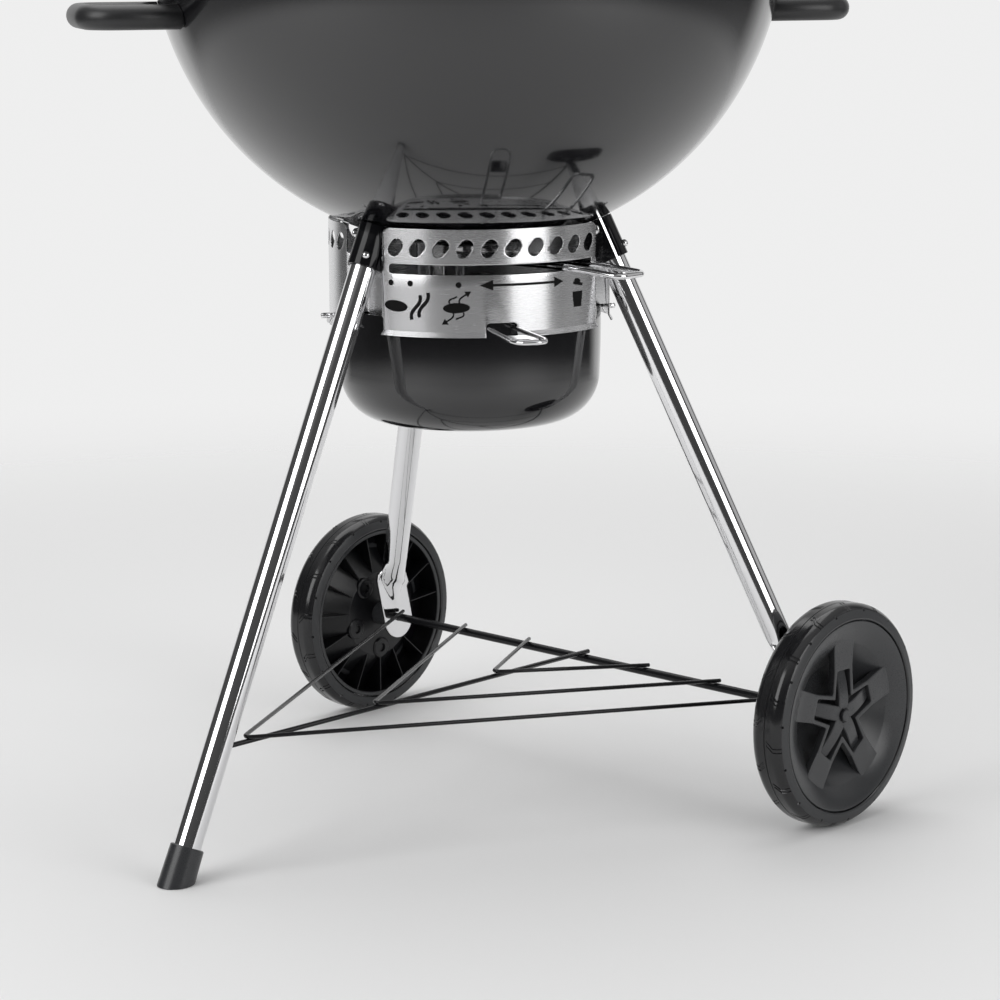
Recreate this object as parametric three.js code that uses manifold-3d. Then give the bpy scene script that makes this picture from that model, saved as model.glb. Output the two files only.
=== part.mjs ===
// A 57 cm kettle charcoal grill on three tubular legs, with a one-lever ash sweeper,
// a slotted vent ring, a drop-out ash bucket, a wire rack and two moulded wheels.
// Millimetres, +Z up. The working frame has the kettle's axis at x = y = 0 and the
// floor at z = 0. Bearings are degrees about +Z, counted from -Y (the front) towards +X.
import * as THREE from "three";
import { mergeVertices } from "three/addons/utils/BufferGeometryUtils.js";
import Module from "manifold-3d";

const wasm = await Module();
wasm.setup();

// ---------------------------------------------------------------- driving sizes

const gap = 0.3; // between pieces that touch

const bowlRadius = 286; // outside radius of the round bottom
const bowlBottom = 522.5; // lowest point above the floor
const bowlDepth = 245.5;
const bowlSheet = 1.8;
const rimBead = 3.5; // radius of the rolled rim
const roundSides = 30; // flats around the bowl and what seats on it
const bowlSteps = 10; // flats from the bottom to the rim
const ventInner = 42; // radii of the three openings in the bottom
const ventOuter = 92;
const ventSpread = 28;
const shaftPlay = 0.6; // around the sweeper's shaft in the bowl

const lidRise = 242; // from the lid's shoulder to its top
const lidSheet = 1.8;
const lidSteps = 7;
const lidShoulder = 4; // height of the step that rests on the bowl's bead
const skirtDrop = 11; // how far the lid's skirt hangs below the bead's top
const skirtGap = 1.6; // between the skirt and the bead
const skirtRound = 1.5; // below the shoulder

const ringTurn = -3; // bearing of the middle of the front panel
const ringRadius = 129;
const ringTop = 549;
const ringCrease = 459.4; // where the skirt starts to flare
const ringFoot = 455;
const ringSheet = 1.2;
const ringFlare = 3;
const recessSetback = 6.5; // of the set-back walls, inward from the legs' upper ends
const recessSpread = 21; // degrees between two panels
const recessFloor = 462; // lower edge of a set-back wall, inside the bucket's rim
const recessTurn = 2; // degrees that a set-back wall's return leans in
const panelFillet = 4;
const slotClear = 1.6; // below and above the lever's wire
const slotHeight = 514.4; // of the slot's middle line
const slotLeft = -49.3;
const slotRight = 42.4;
const holeCount = 10;
const holePitch = 9.6;
const holeHeight = 533.3;
const holeLength = 17.5;
const holeWidth = 12;
const holeTilt = 50;

const footRadius = 367.7; // where a leg's axis meets the floor
const legRadius = 12.2;
const legWall = 1.2;
const legSides = 12;
const frontLeg = -60; // bearings
const rightLeg = 60;
const rearLeg = 180;
const footCapRadius = 16;
const footCapHeight = 30;
const footClear = 5; // between the floor and the front tube's end

const clampLength = 38.5;
const clampWall = 2.6;
const clampReach = 48; // half the arc that the outer shell covers, in degrees
const slitArc = 13; // the open strip beside the shell, in degrees
const clampBoltRadius = 2.5;
const clampBoltHead = 5;
const clampBoltLength = 46;
const clampBoltDrop = 7; // below the tube's end
const clampBoltCap = 8; // length of the bolt's head
const clampLip = 7.6; // saddle's near side, outward from the tube's axis
const rivetRadius = 3.4;
const rivetDrop = 29.5; // below the tube's end

const wheelRadius = 103.2;
const wheelWidth = 36;
const wheelOffset = 28; // wheel's middle outboard of the leg's axis
const wheelSides = 20;
const treadFlat = 7; // half the flat band around the tyre's crown
const treadEdge = 98.6; // radius of the crease between tread and sidewall
const treadEdgeInset = 2; // of the crease from the tyre's face
const sidewallRadius = 95; // outer edge of the flat sidewall
const sidewallStep = 1.5; // of the tyre's bead behind its face
const rimRadius = 87.2;
const barrelWall = 4;
const barrelInset = 2; // of the hub's inner edge from the tyre's face
const dishRadius = 66; // inner edge of the dished face
const dishHeight = 8; // of that edge above the wheel's middle plane
const wellRadius = 45; // of the closed well behind the spokes
const wellFloor = -12;
const hubWall = 3;
const hubRadius = 12;
const crownHeight = 10.5;
const ribCount = 8;
const ribThick = 1.6;
const spokeCount = 5;
const spokeRoot = 42.5; // where a spoke's plate opens into two legs
const spokeRootHalf = 13.2;
const spokeReach = 70;
const spokeHalf = 14.6;
const spokeTop = 9.5;
const spokeThick = 7;
const legCrotch = 25.5; // radius where two neighbouring legs meet
const legCutback = 6; // of the opening's corner inside that meeting point
const legWidth = 4;
const fingerWidth = 14;
const fingerDip = 5; // how far a finger's tip lies under the plate's face
const capRadius = 6.5;
const capHeight = 3;
const axleRadius = 4;
const axlePlay = 0.4;
const axleSetback = 3; // axle's end behind the hub's face
const paddleWidth = 38;
const paddleThick = 4;
const paddleInset = 13; // flattened end inboard of the tube's axis
const paddleEnd = 22; // below the axle
const pressLength = 14; // of tube above the bend that is pressed out of round
const ridgeThick = 8.5; // half thickness of the ridge where the plate starts
const ridgeRun = 22; // how far the ridge runs down the plate
const hubClear = 0.6; // between a hub and the flattened leg

const vWire = 1.9; // radii of the rack's wires
const spineWire = 2.25;
const vTip = 4; // how far a V's ends pass the axle
const vHalfWidths = [77.6, 166.4, 257.5];
const vReaches = [0.278, 0.609, 0.939]; // share of the spine from the axle

const bucketRadius = 121;
const bucketSheet = 1.2;
const bucketRim = 469.8;
const bucketCorner = 43.7;
const bucketCornerHeight = 406.8;
const bucketDish = 6;
const bucketGap = 0.7; // between its rim and the ring's returns
const rimBand = 9; // cleared inside the rim, where the ring passes over it and the bail runs
const bucketSides = 36;

const bailWire = 2;
const bailHeight = 462.8;
const bailPinReach = 139;
const bailRootHalf = 11.8;
const bailTipHalf = 15;
const bailReach = 240;
const bailBend = 14; // length of the bends at its tip
const bailTipRise = 2;
const bailInset = 0.9; // of the wire's run from the bucket's wall, over the usual gap
const bailSpread = 90; // bearing of the pins each side of the front panel's middle

const leverTurn = 32.6;
const leverWire = 2.8;
const leverHalf = 18.6;
const leverReach = 194.5;
const leverRoot = 30; // from the shaft's axis to the wire's ends
const leverBend = 9.5;
const leverHeight = 513.6;
const leverTipHeight = 509.2;
const armReach = 74;
const armHalf = 16;
const armSheet = 2.4;
const shaftRadius = 6;
const bladeInner = 17;
const bladeOuter = 100;
const bladeSpread = 34;
const bladeSheet = 1.5;
const bladeLift = 0.5;
const hubPlateRadius = 27;
const hubPlateSheet = 2.5;
const hubBossHeight = 10;
const hubBossWall = 5;
const nutHeight = 7;

const sideHandleDrop = 33; // grip's middle below the rim
const sideHandleBend = 26;
const gripRoot = 8; // how far the grips' ends reach towards the sheet they seat on
const sideHandleReach = 360;
const sideHandleWidth = 118;
const lidHandleWidth = 118;
const lidHandleTop = 1068;
const lidHandleBend = 24;
const gripRadius = 11;

const damperTilt = 38; // from the lid's top
const damperBearing = 38;
const damperRadius = 42;
const damperSheet = 1.6;
const damperHoles = 3;
const damperHoleRadius = 9;
const damperHoleCircle = 25;
const damperRivet = 3;
const damperRivetHead = 7;
const damperTabWidth = 16;
const damperTabLength = 12;
const damperTabHeight = 9;

const cookingGrateAngle = 70; // from the bowl's bottom, at the sphere's centre
const charcoalGrateAngle = 53;
const grateWire = 2.6;
const barWire = 2;
const cookingBars = 9;
const charcoalBars = 5;
const cookingCross = 150; // cross wires each side of the middle
const charcoalCross = 120;
const barMargin = 4; // outermost bar from the ring wire

// ---------------------------------------------------------------- worked-out sizes

const sphereHeight = bowlBottom + bowlRadius; // centre of the bowl's sphere
const bowlArc = Math.acos(1 - bowlDepth / bowlRadius);
const rimRadiusOut = bowlRadius * Math.sin(bowlArc);
const rimHeight = bowlBottom + bowlDepth;
const beadTop = rimHeight + rimBead;
const legLean = Math.atan2(footRadius, sphereHeight);
const legTop = bowlRadius + gap; // distance from the sphere's centre
const axleHeight = wheelRadius;
const sideHandleHeight = rimHeight - sideHandleDrop;
const recessRadius = legTop * Math.sin(legLean) - recessSetback;
const slotLow = slotHeight - leverWire - slotClear;
const slotHigh = slotHeight + leverWire + slotClear;

// ---------------------------------------------------------------- places

const radians = THREE.MathUtils.degToRad;

function around(radius, bearing, height) {
  const turn = radians(bearing);
  return new THREE.Vector3(radius * Math.sin(turn), -radius * Math.cos(turn), height);
}

// A point beside a leg: along its axis from the sphere's centre, outward, and sideways.
function besideLeg(bearing, along, outward = 0, sideways = 0) {
  const radius = along * Math.sin(legLean) + outward * Math.cos(legLean);
  const height = sphereHeight - along * Math.cos(legLean) + outward * Math.sin(legLean);
  return around(radius, bearing, height).add(around(sideways, bearing + 90, 0));
}

function alongAtHeight(height) {
  return (sphereHeight - height) / Math.cos(legLean);
}

const rightHubAxis = besideLeg(rightLeg, alongAtHeight(axleHeight));
const rearHubAxis = besideLeg(rearLeg, alongAtHeight(axleHeight));
const axleDirection = rearHubAxis.clone().sub(rightHubAxis).normalize();
const axleMiddle = rightHubAxis.clone().add(rearHubAxis).multiplyScalar(0.5);
const axleHalf = rearHubAxis.distanceTo(rightHubAxis) / 2;
const up = new THREE.Vector3(0, 0, 1);
const rackDirection = new THREE.Vector3().crossVectors(axleDirection, up).negate();

// ---------------------------------------------------------------- solids

function toSolid(geometry) {
  const bare = geometry.clone();
  bare.deleteAttribute("normal");
  bare.deleteAttribute("uv");
  const merged = mergeVertices(bare, 1e-3);
  const corners = merged.index.array;
  const kept = [];
  for (let i = 0; i < corners.length; i += 3) {
    const [a, b, c] = [corners[i], corners[i + 1], corners[i + 2]];
    if (a !== b && b !== c && c !== a) {
      kept.push(a, b, c);
    }
  }
  const vertProperties = Float32Array.from(merged.attributes.position.array);
  const made = new wasm.Manifold(
    new wasm.Mesh({ numProp: 3, vertProperties, triVerts: Uint32Array.from(kept) }),
  );
  if (made.volume() > 0) {
    return made;
  }
  const turned = [];
  for (let i = 0; i < kept.length; i += 3) {
    turned.push(kept[i], kept[i + 2], kept[i + 1]);
  }
  return new wasm.Manifold(
    new wasm.Mesh({ numProp: 3, vertProperties, triVerts: Uint32Array.from(turned) }),
  );
}

function toGeometry(solid) {
  const mesh = solid.getMesh();
  const geometry = new THREE.BufferGeometry();
  geometry.setAttribute("position", new THREE.BufferAttribute(mesh.vertProperties, 3));
  geometry.setIndex(new THREE.BufferAttribute(mesh.triVerts, 1));
  return geometry;
}

function placed(geometry, origin, zDirection, xHint = up) {
  const z = zDirection.clone().normalize();
  const x = xHint.clone().sub(z.clone().multiplyScalar(xHint.dot(z))).normalize();
  const y = new THREE.Vector3().crossVectors(z, x);
  const matrix = new THREE.Matrix4().makeBasis(x, y, z).setPosition(origin);
  return geometry.applyMatrix4(matrix);
}

// A profile of [radius, height] turned about Z.
function turnedGeometry(profile, sides) {
  const points = profile.map(([radius, height]) => new THREE.Vector2(radius, height));
  return new THREE.LatheGeometry(points, sides).rotateX(Math.PI / 2);
}

function rodGeometry(start, end, radius, sides = 16, endRadius = radius) {
  const direction = end.clone().sub(start);
  const geometry = new THREE.CylinderGeometry(endRadius, radius, direction.length(), sides);
  geometry.rotateX(Math.PI / 2);
  geometry.translate(0, 0, direction.length() / 2);
  const hint = Math.abs(direction.clone().normalize().z) > 0.9 ? new THREE.Vector3(1, 0, 0) : up;
  return placed(geometry, start, direction, hint);
}

function rod(start, end, radius, sides, endRadius) {
  return toSolid(rodGeometry(start, end, radius, sides, endRadius));
}

function prismGeometry(corners, depth) {
  const shape = new THREE.Shape(corners.map(([x, y]) => new THREE.Vector2(x, y)));
  return new THREE.ExtrudeGeometry(shape, { depth, bevelEnabled: false });
}

function joined(solids) {
  return solids.reduce((whole, next) => whole.add(next));
}

function cutBy(solid, cutters) {
  return cutters.reduce((left, cutter) => left.subtract(cutter), solid);
}

// A path that an extrusion follows corner by corner.
class CornerPath extends THREE.Curve {
  constructor(corners) {
    super();
    this.corners = corners;
  }
  getPoint(share) {
    return this.corners[Math.round(share * (this.corners.length - 1))].clone();
  }
  getPointAt(share) {
    return this.getPoint(share);
  }
  getTangentAt(share) {
    const last = this.corners.length - 1;
    const at = Math.round(share * last);
    const before = this.corners[Math.max(at - 1, 0)];
    const here = this.corners[at];
    const after = this.corners[Math.min(at + 1, last)];
    const arriving = here.clone().sub(before).normalize();
    const leaving = after.clone().sub(here).normalize();
    return arriving.add(leaving).normalize();
  }
}

// Corner points with each inner corner rounded off.
function rounded(corners, radius, steps = 4) {
  const points = [corners[0].clone()];
  for (let i = 1; i < corners.length - 1; i += 1) {
    const toBefore = corners[i - 1].clone().sub(corners[i]);
    const toAfter = corners[i + 1].clone().sub(corners[i]);
    const bend = Math.PI - toBefore.angleTo(toAfter);
    const most = 0.49 * Math.min(toBefore.length(), toAfter.length());
    const trim = Math.min(radius * Math.tan(bend / 2), most);
    const start = corners[i].clone().addScaledVector(toBefore.normalize(), trim);
    const end = corners[i].clone().addScaledVector(toAfter.normalize(), trim);
    const arc = new THREE.QuadraticBezierCurve3(start, corners[i], end);
    points.push(...arc.getPoints(steps));
  }
  points.push(corners[corners.length - 1].clone());
  return points;
}

function wire(points, radius, sides = 8) {
  const section = new THREE.Shape();
  for (let i = 0; i < sides; i += 1) {
    const turn = (2 * Math.PI * (i + 0.5)) / sides;
    const [x, y] = [radius * Math.cos(turn), radius * Math.sin(turn)];
    if (i === 0) {
      section.moveTo(x, y);
    } else {
      section.lineTo(x, y);
    }
  }
  section.closePath();
  const extrudePath = new CornerPath(points);
  const steps = points.length - 1;
  return toSolid(new THREE.ExtrudeGeometry(section, { steps, extrudePath, bevelEnabled: false }));
}

// A skin through matching loops of points. A tube closes on its first loop, a lump
// is capped at both ends.
function loft(loops, closesOnItself) {
  const count = loops[0].length;
  const positions = loops.flat().flatMap((point) => point.toArray());
  const index = [];
  const bands = closesOnItself ? loops.length : loops.length - 1;
  for (let k = 0; k < bands; k += 1) {
    const here = k * count;
    const next = ((k + 1) % loops.length) * count;
    for (let i = 0; i < count; i += 1) {
      const j = (i + 1) % count;
      index.push(here + i, here + j, next + j, here + i, next + j, next + i);
    }
  }
  if (!closesOnItself) {
    const last = (loops.length - 1) * count;
    for (let i = 1; i < count - 1; i += 1) {
      index.push(0, i + 1, i, last, last + i, last + i + 1);
    }
  }
  const geometry = new THREE.BufferGeometry();
  geometry.setAttribute("position", new THREE.Float32BufferAttribute(positions, 3));
  geometry.setIndex(index);
  return toSolid(geometry);
}

// ---------------------------------------------------------------- bowl

// Points on the bowl's round bottom, flat by flat, at a distance inside its outer face.
function bowlProfile(inset, steps = bowlSteps) {
  const points = [];
  for (let i = 0; i <= steps; i += 1) {
    const turn = (bowlArc * i) / bowlSteps;
    const radius = (bowlRadius - inset) * Math.sin(turn);
    points.push([radius, sphereHeight - (bowlRadius - inset) * Math.cos(turn)]);
  }
  return points;
}

// The middle of a wire that lies on the bowl's inner flat at an angle from the bottom.
function seatInBowl(degrees, wireRadius) {
  const inner = bowlProfile(bowlSheet);
  const flat = Math.floor(radians(degrees) / (bowlArc / bowlSteps));
  const [[r0, z0], [r1, z1]] = [inner[flat], inner[flat + 1]];
  const share = radians(degrees) / (bowlArc / bowlSteps) - flat;
  const length = Math.hypot(r1 - r0, z1 - z0);
  const [inward, lift] = [-(z1 - z0) / length, (r1 - r0) / length];
  const off = wireRadius + gap;
  return [r0 + (r1 - r0) * share + inward * off, z0 + (z1 - z0) * share + lift * off];
}

function bowlVent(bearing) {
  const corners = [];
  const half = radians(ventSpread / 2);
  for (let i = 0; i <= 4; i += 1) {
    const turn = -half + (2 * half * i) / 4;
    corners.push([ventOuter * Math.sin(turn), -ventOuter * Math.cos(turn)]);
  }
  for (let i = 0; i <= 2; i += 1) {
    const turn = half - (2 * half * i) / 2;
    corners.push([ventInner * Math.sin(turn), -ventInner * Math.cos(turn)]);
  }
  const cutter = prismGeometry(corners, 60).translate(0, 0, bowlBottom - 20);
  return toSolid(cutter.rotateZ(radians(bearing)));
}

function bowl() {
  const outer = bowlProfile(0).slice(0, -1);
  const inner = bowlProfile(bowlSheet).slice(0, -1).reverse();
  const bead = [];
  for (let i = 0; i <= 5; i += 1) {
    const turn = radians(-100 + (265 * i) / 5);
    bead.push([
      rimRadiusOut + rimBead * Math.cos(turn),
      rimHeight + rimBead * Math.sin(turn),
    ]);
  }
  const shell = toSolid(turnedGeometry([...outer, ...bead, ...inner], roundSides));
  const shaftHole = rod(
    new THREE.Vector3(0, 0, bowlBottom - 5),
    new THREE.Vector3(0, 0, bowlBottom + 10),
    shaftRadius + shaftPlay,
    16,
  );
  const vents = [0, 120, 240].map((turn) => bowlVent(leverTurn + 60 + turn));
  return cutBy(shell, [shaftHole, ...vents]);
}

function sideHandle(bearing) {
  const [left, right] = [-1, 1].map((side) => (side * sideHandleWidth) / 2 - side * gripRadius);
  const root = Math.sqrt(bowlRadius ** 2 - (sphereHeight - sideHandleHeight) ** 2) - gripRoot;
  const reach = sideHandleReach - gripRadius;
  const corners = [
    new THREE.Vector3(left, -root, sideHandleHeight),
    new THREE.Vector3(left, -reach, sideHandleHeight),
    new THREE.Vector3(right, -reach, sideHandleHeight),
    new THREE.Vector3(right, -root, sideHandleHeight),
  ];
  const grip = wire(rounded(corners, sideHandleBend, 4), gripRadius / Math.cos(Math.PI / 8), 8);
  const bowlBody = toSolid(
    turnedGeometry([...bowlProfile(-gap), [0, rimHeight]], roundSides).rotateZ(-radians(bearing)),
  );
  return turned(grip.subtract(bowlBody), bearing);
}

function turned(solid, bearing) {
  return toSolid(toGeometry(solid).rotateZ(radians(bearing)));
}

// ---------------------------------------------------------------- lid

const skirtInner = rimRadiusOut + rimBead + skirtGap;
const shoulderRadius = rimRadiusOut + lidSheet + 1;
const lidBase = beadTop + gap; // underside of the step that rests on the bead
const domeFoot = lidBase + lidShoulder;
const domeRadius = (shoulderRadius ** 2 + lidRise ** 2) / (2 * lidRise);
const domeHeight = domeFoot + lidRise - domeRadius; // centre of the dome's sphere
const domeArc = Math.asin(shoulderRadius / domeRadius);

function domeProfile(inset) {
  const points = [];
  for (let i = 0; i <= lidSteps; i += 1) {
    const turn = domeArc * (1 - i / lidSteps);
    const radius = domeRadius - inset;
    points.push([radius * Math.sin(turn), domeHeight + radius * Math.cos(turn)]);
  }
  return points;
}

const damperAxis = around(Math.sin(radians(damperTilt)), damperBearing, Math.cos(radians(damperTilt)));
const domeCentre = new THREE.Vector3(0, 0, domeHeight);

// A cutter or a disc about the damper's axis.
function onDamper(geometry) {
  return toSolid(placed(geometry, domeCentre, damperAxis));
}

function damperCutters(from, to) {
  const cutters = [];
  for (let i = 0; i < damperHoles; i += 1) {
    const turn = (2 * Math.PI * i) / damperHoles;
    const [x, y] = [damperHoleCircle * Math.cos(turn), damperHoleCircle * Math.sin(turn)];
    const low = new THREE.Vector3(x, y, from);
    cutters.push(onDamper(rodGeometry(low, new THREE.Vector3(x, y, to), damperHoleRadius, 8)));
  }
  return cutters;
}

function lid() {
  const outer = domeProfile(0);
  const inner = domeProfile(lidSheet).reverse();
  const skirtOuter = skirtInner + lidSheet;
  const skirtFoot = beadTop - skirtDrop;
  const profile = [
    [skirtInner, skirtFoot],
    [skirtOuter, skirtFoot],
    [skirtOuter, domeFoot - skirtRound],
    ...outer,
    ...inner.slice(0, -1),
    [shoulderRadius - lidSheet - 1, lidBase],
    [skirtInner, lidBase],
  ];
  const shell = toSolid(turnedGeometry([...profile, profile[0]], roundSides));
  const span = [domeRadius - damperRadius / 2, domeRadius + damperRadius / 2];
  const rivetHole = onDamper(
    rodGeometry(
      new THREE.Vector3(0, 0, span[0]),
      new THREE.Vector3(0, 0, span[1]),
      damperRivet + gap,
      12,
    ),
  );
  return cutBy(shell, [rivetHole, ...damperCutters(...span)]);
}

function lidHandle() {
  const half = lidHandleWidth / 2 - gripRadius;
  const root = domeHeight + Math.sqrt(domeRadius ** 2 - half ** 2) - gripRoot;
  const top = lidHandleTop - gripRadius;
  const corners = [
    new THREE.Vector3(-half, 0, root),
    new THREE.Vector3(-half, 0, top),
    new THREE.Vector3(half, 0, top),
    new THREE.Vector3(half, 0, root),
  ];
  const grip = wire(rounded(corners, lidHandleBend, 4), gripRadius / Math.cos(Math.PI / 8), 8);
  const dome = toSolid(
    turnedGeometry([[0, domeFoot], ...domeProfile(-gap)], roundSides),
  );
  return grip.subtract(dome);
}

function damperDisc() {
  const profile = [];
  const bottom = domeRadius + gap;
  const top = bottom + damperSheet;
  const edge = Math.asin(damperRadius / bottom);
  const bore = Math.asin((damperRivet + gap) / bottom);
  for (let i = 0; i <= 2; i += 1) {
    const turn = bore + ((edge - bore) * i) / 2;
    profile.push([bottom * Math.sin(turn), bottom * Math.cos(turn)]);
  }
  for (let i = 2; i >= 0; i -= 1) {
    const turn = bore + ((edge - bore) * i) / 2;
    profile.push([top * Math.sin(turn), top * Math.cos(turn)]);
  }
  const disc = onDamper(turnedGeometry([...profile, profile[0]], 20));
  const tabLow = bottom * Math.cos(edge) + damperSheet * 0.3;
  const tab = new THREE.BoxGeometry(damperTabWidth, damperTabLength, damperTabHeight);
  tab.translate(0, damperRadius + damperTabLength / 6, tabLow + damperTabHeight / 2);
  return cutBy(disc.add(onDamper(tab)), damperCutters(bottom - damperSheet, top + damperSheet));
}

function damperRivetSolid() {
  const head = domeRadius + gap + damperSheet + gap;
  const shank = rodGeometry(
    new THREE.Vector3(0, 0, domeRadius - lidSheet * 2),
    new THREE.Vector3(0, 0, head + damperRivet / 3),
    damperRivet,
    10,
  );
  const cap = rodGeometry(
    new THREE.Vector3(0, 0, head),
    new THREE.Vector3(0, 0, head + damperRivet),
    damperRivetHead,
    10,
    damperRivetHead * 0.65,
  );
  return onDamper(shank).add(onDamper(cap));
}

// ---------------------------------------------------------------- legs and clamps

function legSection(centre, side, normal, halfWidth, halfThick, flatness) {
  const points = [];
  for (let i = 0; i < legSides; i += 1) {
    const turn = (2 * Math.PI * i) / legSides;
    const across = halfWidth * Math.cos(turn);
    const bulge = Math.sign(Math.sin(turn)) * Math.abs(Math.sin(turn)) ** flatness;
    const point = centre.clone().addScaledVector(side, across);
    points.push(point.addScaledVector(normal, halfThick * bulge));
  }
  return points;
}

function straightLeg(bearing) {
  const end = alongAtHeight(footClear) - legRadius * Math.tan(legLean);
  const outside = rod(besideLeg(bearing, legTop), besideLeg(bearing, end), legRadius, 16);
  const inside = rod(
    besideLeg(bearing, legTop - legRadius),
    besideLeg(bearing, end + legRadius),
    legRadius - legWall,
    16,
  );
  return outside.subtract(inside).subtract(legBoltHole(bearing));
}

// A wheel leg: its tube is pressed flat at the foot and bent square to the axle.
function wheelLeg(bearing, outboard) {
  const down = besideLeg(bearing, 1).sub(besideLeg(bearing, 0)).normalize();
  const atAxle = besideLeg(bearing, alongAtHeight(axleHeight));
  const plate = atAxle.clone().addScaledVector(outboard, -paddleInset);
  const shift = down.dot(outboard);
  const plateDown = down.clone().addScaledVector(outboard, -shift).normalize();
  const bend = alongAtHeight(axleHeight) - paddleInset / shift;
  const bendPoint = besideLeg(bearing, bend);
  const side = new THREE.Vector3().crossVectors(outboard, plateDown).normalize();
  const tubeSide = side.clone().addScaledVector(down, -side.dot(down)).normalize();
  const tubeNormal = new THREE.Vector3().crossVectors(down, tubeSide).normalize();
  const nearNormal = tubeNormal.dot(outboard) > 0 ? tubeNormal : tubeNormal.negate();
  const half = paddleWidth / 2;
  const drop = (bendPoint.z - axleHeight) / -plateDown.z;
  const platePoint = (below) => bendPoint.clone().addScaledVector(plateDown, below);
  const thin = paddleThick / 2;
  const ridge = (share) => ridgeThick + (thin - ridgeThick) * share;
  const tubeEnd = bend - pressLength;
  const loops = [
    legSection(besideLeg(bearing, legTop), tubeSide, nearNormal, legRadius, legRadius, 1),
    legSection(besideLeg(bearing, tubeEnd), tubeSide, nearNormal, legRadius, legRadius, 1),
    legSection(platePoint(0), side, outboard, half, ridge(0), 1.2),
    legSection(platePoint(ridgeRun / 2), side, outboard, half, ridge(0.5), 1.5),
    legSection(platePoint(ridgeRun), side, outboard, half, thin, 0.5),
  ];
  const endCentre = drop + paddleEnd - half;
  for (let i = 0; i <= 4; i += 1) {
    const turn = radians(20 * i);
    const below = endCentre + half * Math.sin(turn);
    loops.push(
      legSection(platePoint(below), side, outboard, half * Math.cos(turn), paddleThick / 2, 0.5),
    );
  }
  const outside = loft(loops, false);
  const inside = rod(
    besideLeg(bearing, legTop - legRadius),
    besideLeg(bearing, tubeEnd),
    legRadius - legWall,
    12,
  );
  const hole = rod(
    plate.clone().addScaledVector(axleDirection, -paddleWidth / 2),
    plate.clone().addScaledVector(axleDirection, paddleWidth / 2),
    axleRadius + gap,
    12,
  );
  return cutBy(outside, [inside, hole, legBoltHole(bearing)]);
}

function legBoltHole(bearing) {
  return boltAcross(bearing, clampBoltLength, clampBoltRadius + gap);
}

function boltAcross(bearing, half, radius, sides = 8) {
  const along = legTop + clampBoltDrop;
  return rod(
    besideLeg(bearing, along, 0, -half),
    besideLeg(bearing, along, 0, half),
    radius,
    sides,
  );
}

// The space outside an angle from a leg's outward side, as a wedge about its axis.
function legWedge(bearing, halfAngle, from, to, reach) {
  const corners = [[0, 0]];
  for (let i = 0; i <= 4; i += 1) {
    const turn = radians(-halfAngle + (2 * halfAngle * i) / 4);
    corners.push([reach * Math.cos(turn), reach * Math.sin(turn)]);
  }
  const down = besideLeg(bearing, 1).sub(besideLeg(bearing, 0));
  const outward = besideLeg(bearing, 0, 1).sub(besideLeg(bearing, 0));
  const wedge = prismGeometry(corners, to - from);
  return toSolid(placed(wedge, besideLeg(bearing, from), down, outward));
}

const clampFoot = legTop + clampLength;

function clampShell(bearing) {
  const radius = legRadius + gap + clampWall;
  const outside = rod(besideLeg(bearing, legTop), besideLeg(bearing, clampFoot), radius, 16);
  const bore = rod(
    besideLeg(bearing, legTop - clampWall),
    besideLeg(bearing, clampFoot + clampWall),
    legRadius + gap,
    16,
  );
  const wedge = legWedge(bearing, clampReach, legTop - 1, clampFoot + 1, radius * 2);
  const rivetHole = rod(
    besideLeg(bearing, legTop + rivetDrop, legRadius - clampWall),
    besideLeg(bearing, legTop + rivetDrop, radius + clampWall),
    rivetRadius * 0.5 + gap,
    8,
  );
  return outside.subtract(bore).intersect(wedge).subtract(rivetHole);
}

// The cradle between the ring's set-back wall and the tube, open to the tube.
function clampSaddle(bearing) {
  const wall = recessRadius - panelFillet;
  const inward = (along) => (wall - along * Math.sin(legLean)) / Math.cos(legLean);
  const corners = [
    [clampLip, 0],
    [clampLip, clampLength],
    [inward(clampFoot), clampLength],
    [inward(legTop), 0],
  ];
  const half = legRadius + gap + clampWall * 0.6;
  const block = prismGeometry(corners, 2 * half).translate(0, 0, -half);
  const sideways = besideLeg(bearing, 0, 0, 1).sub(besideLeg(bearing, 0));
  const outward = besideLeg(bearing, 0, 1).sub(besideLeg(bearing, 0));
  const down = besideLeg(bearing, 1).sub(besideLeg(bearing, 0));
  const flip = new THREE.Vector3().crossVectors(outward, down).dot(sideways) < 0;
  if (flip) {
    sideways.negate();
  }
  const body = toSolid(placed(block, besideLeg(bearing, legTop), sideways, outward));
  const bore = rod(
    besideLeg(bearing, legTop - clampWall),
    besideLeg(bearing, clampFoot + clampWall),
    legRadius + gap,
    16,
  );
  const open = legWedge(bearing, clampReach + slitArc, legTop - 1, clampFoot + 1, legRadius * 5);
  const outline = ringOutline(0, gap).map((point) => [point.x, point.y]);
  const insideRing = toSolid(prismGeometry(outline, 2 * ringTop));
  return cutBy(body, [bore, open, insideRing, legBoltHole(bearing)]);
}

function clampBolt(bearing) {
  const along = legTop + clampBoltDrop;
  const half = legRadius + gap + clampWall;
  const shank = rod(
    besideLeg(bearing, along, 0, -half - gap - 1),
    besideLeg(bearing, along, 0, clampBoltLength - half),
    clampBoltRadius,
    8,
  );
  const head = rod(
    besideLeg(bearing, along, 0, -half - gap),
    besideLeg(bearing, along, 0, -half - gap - clampBoltCap),
    clampBoltHead,
    10,
  );
  return shank.add(head);
}

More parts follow.
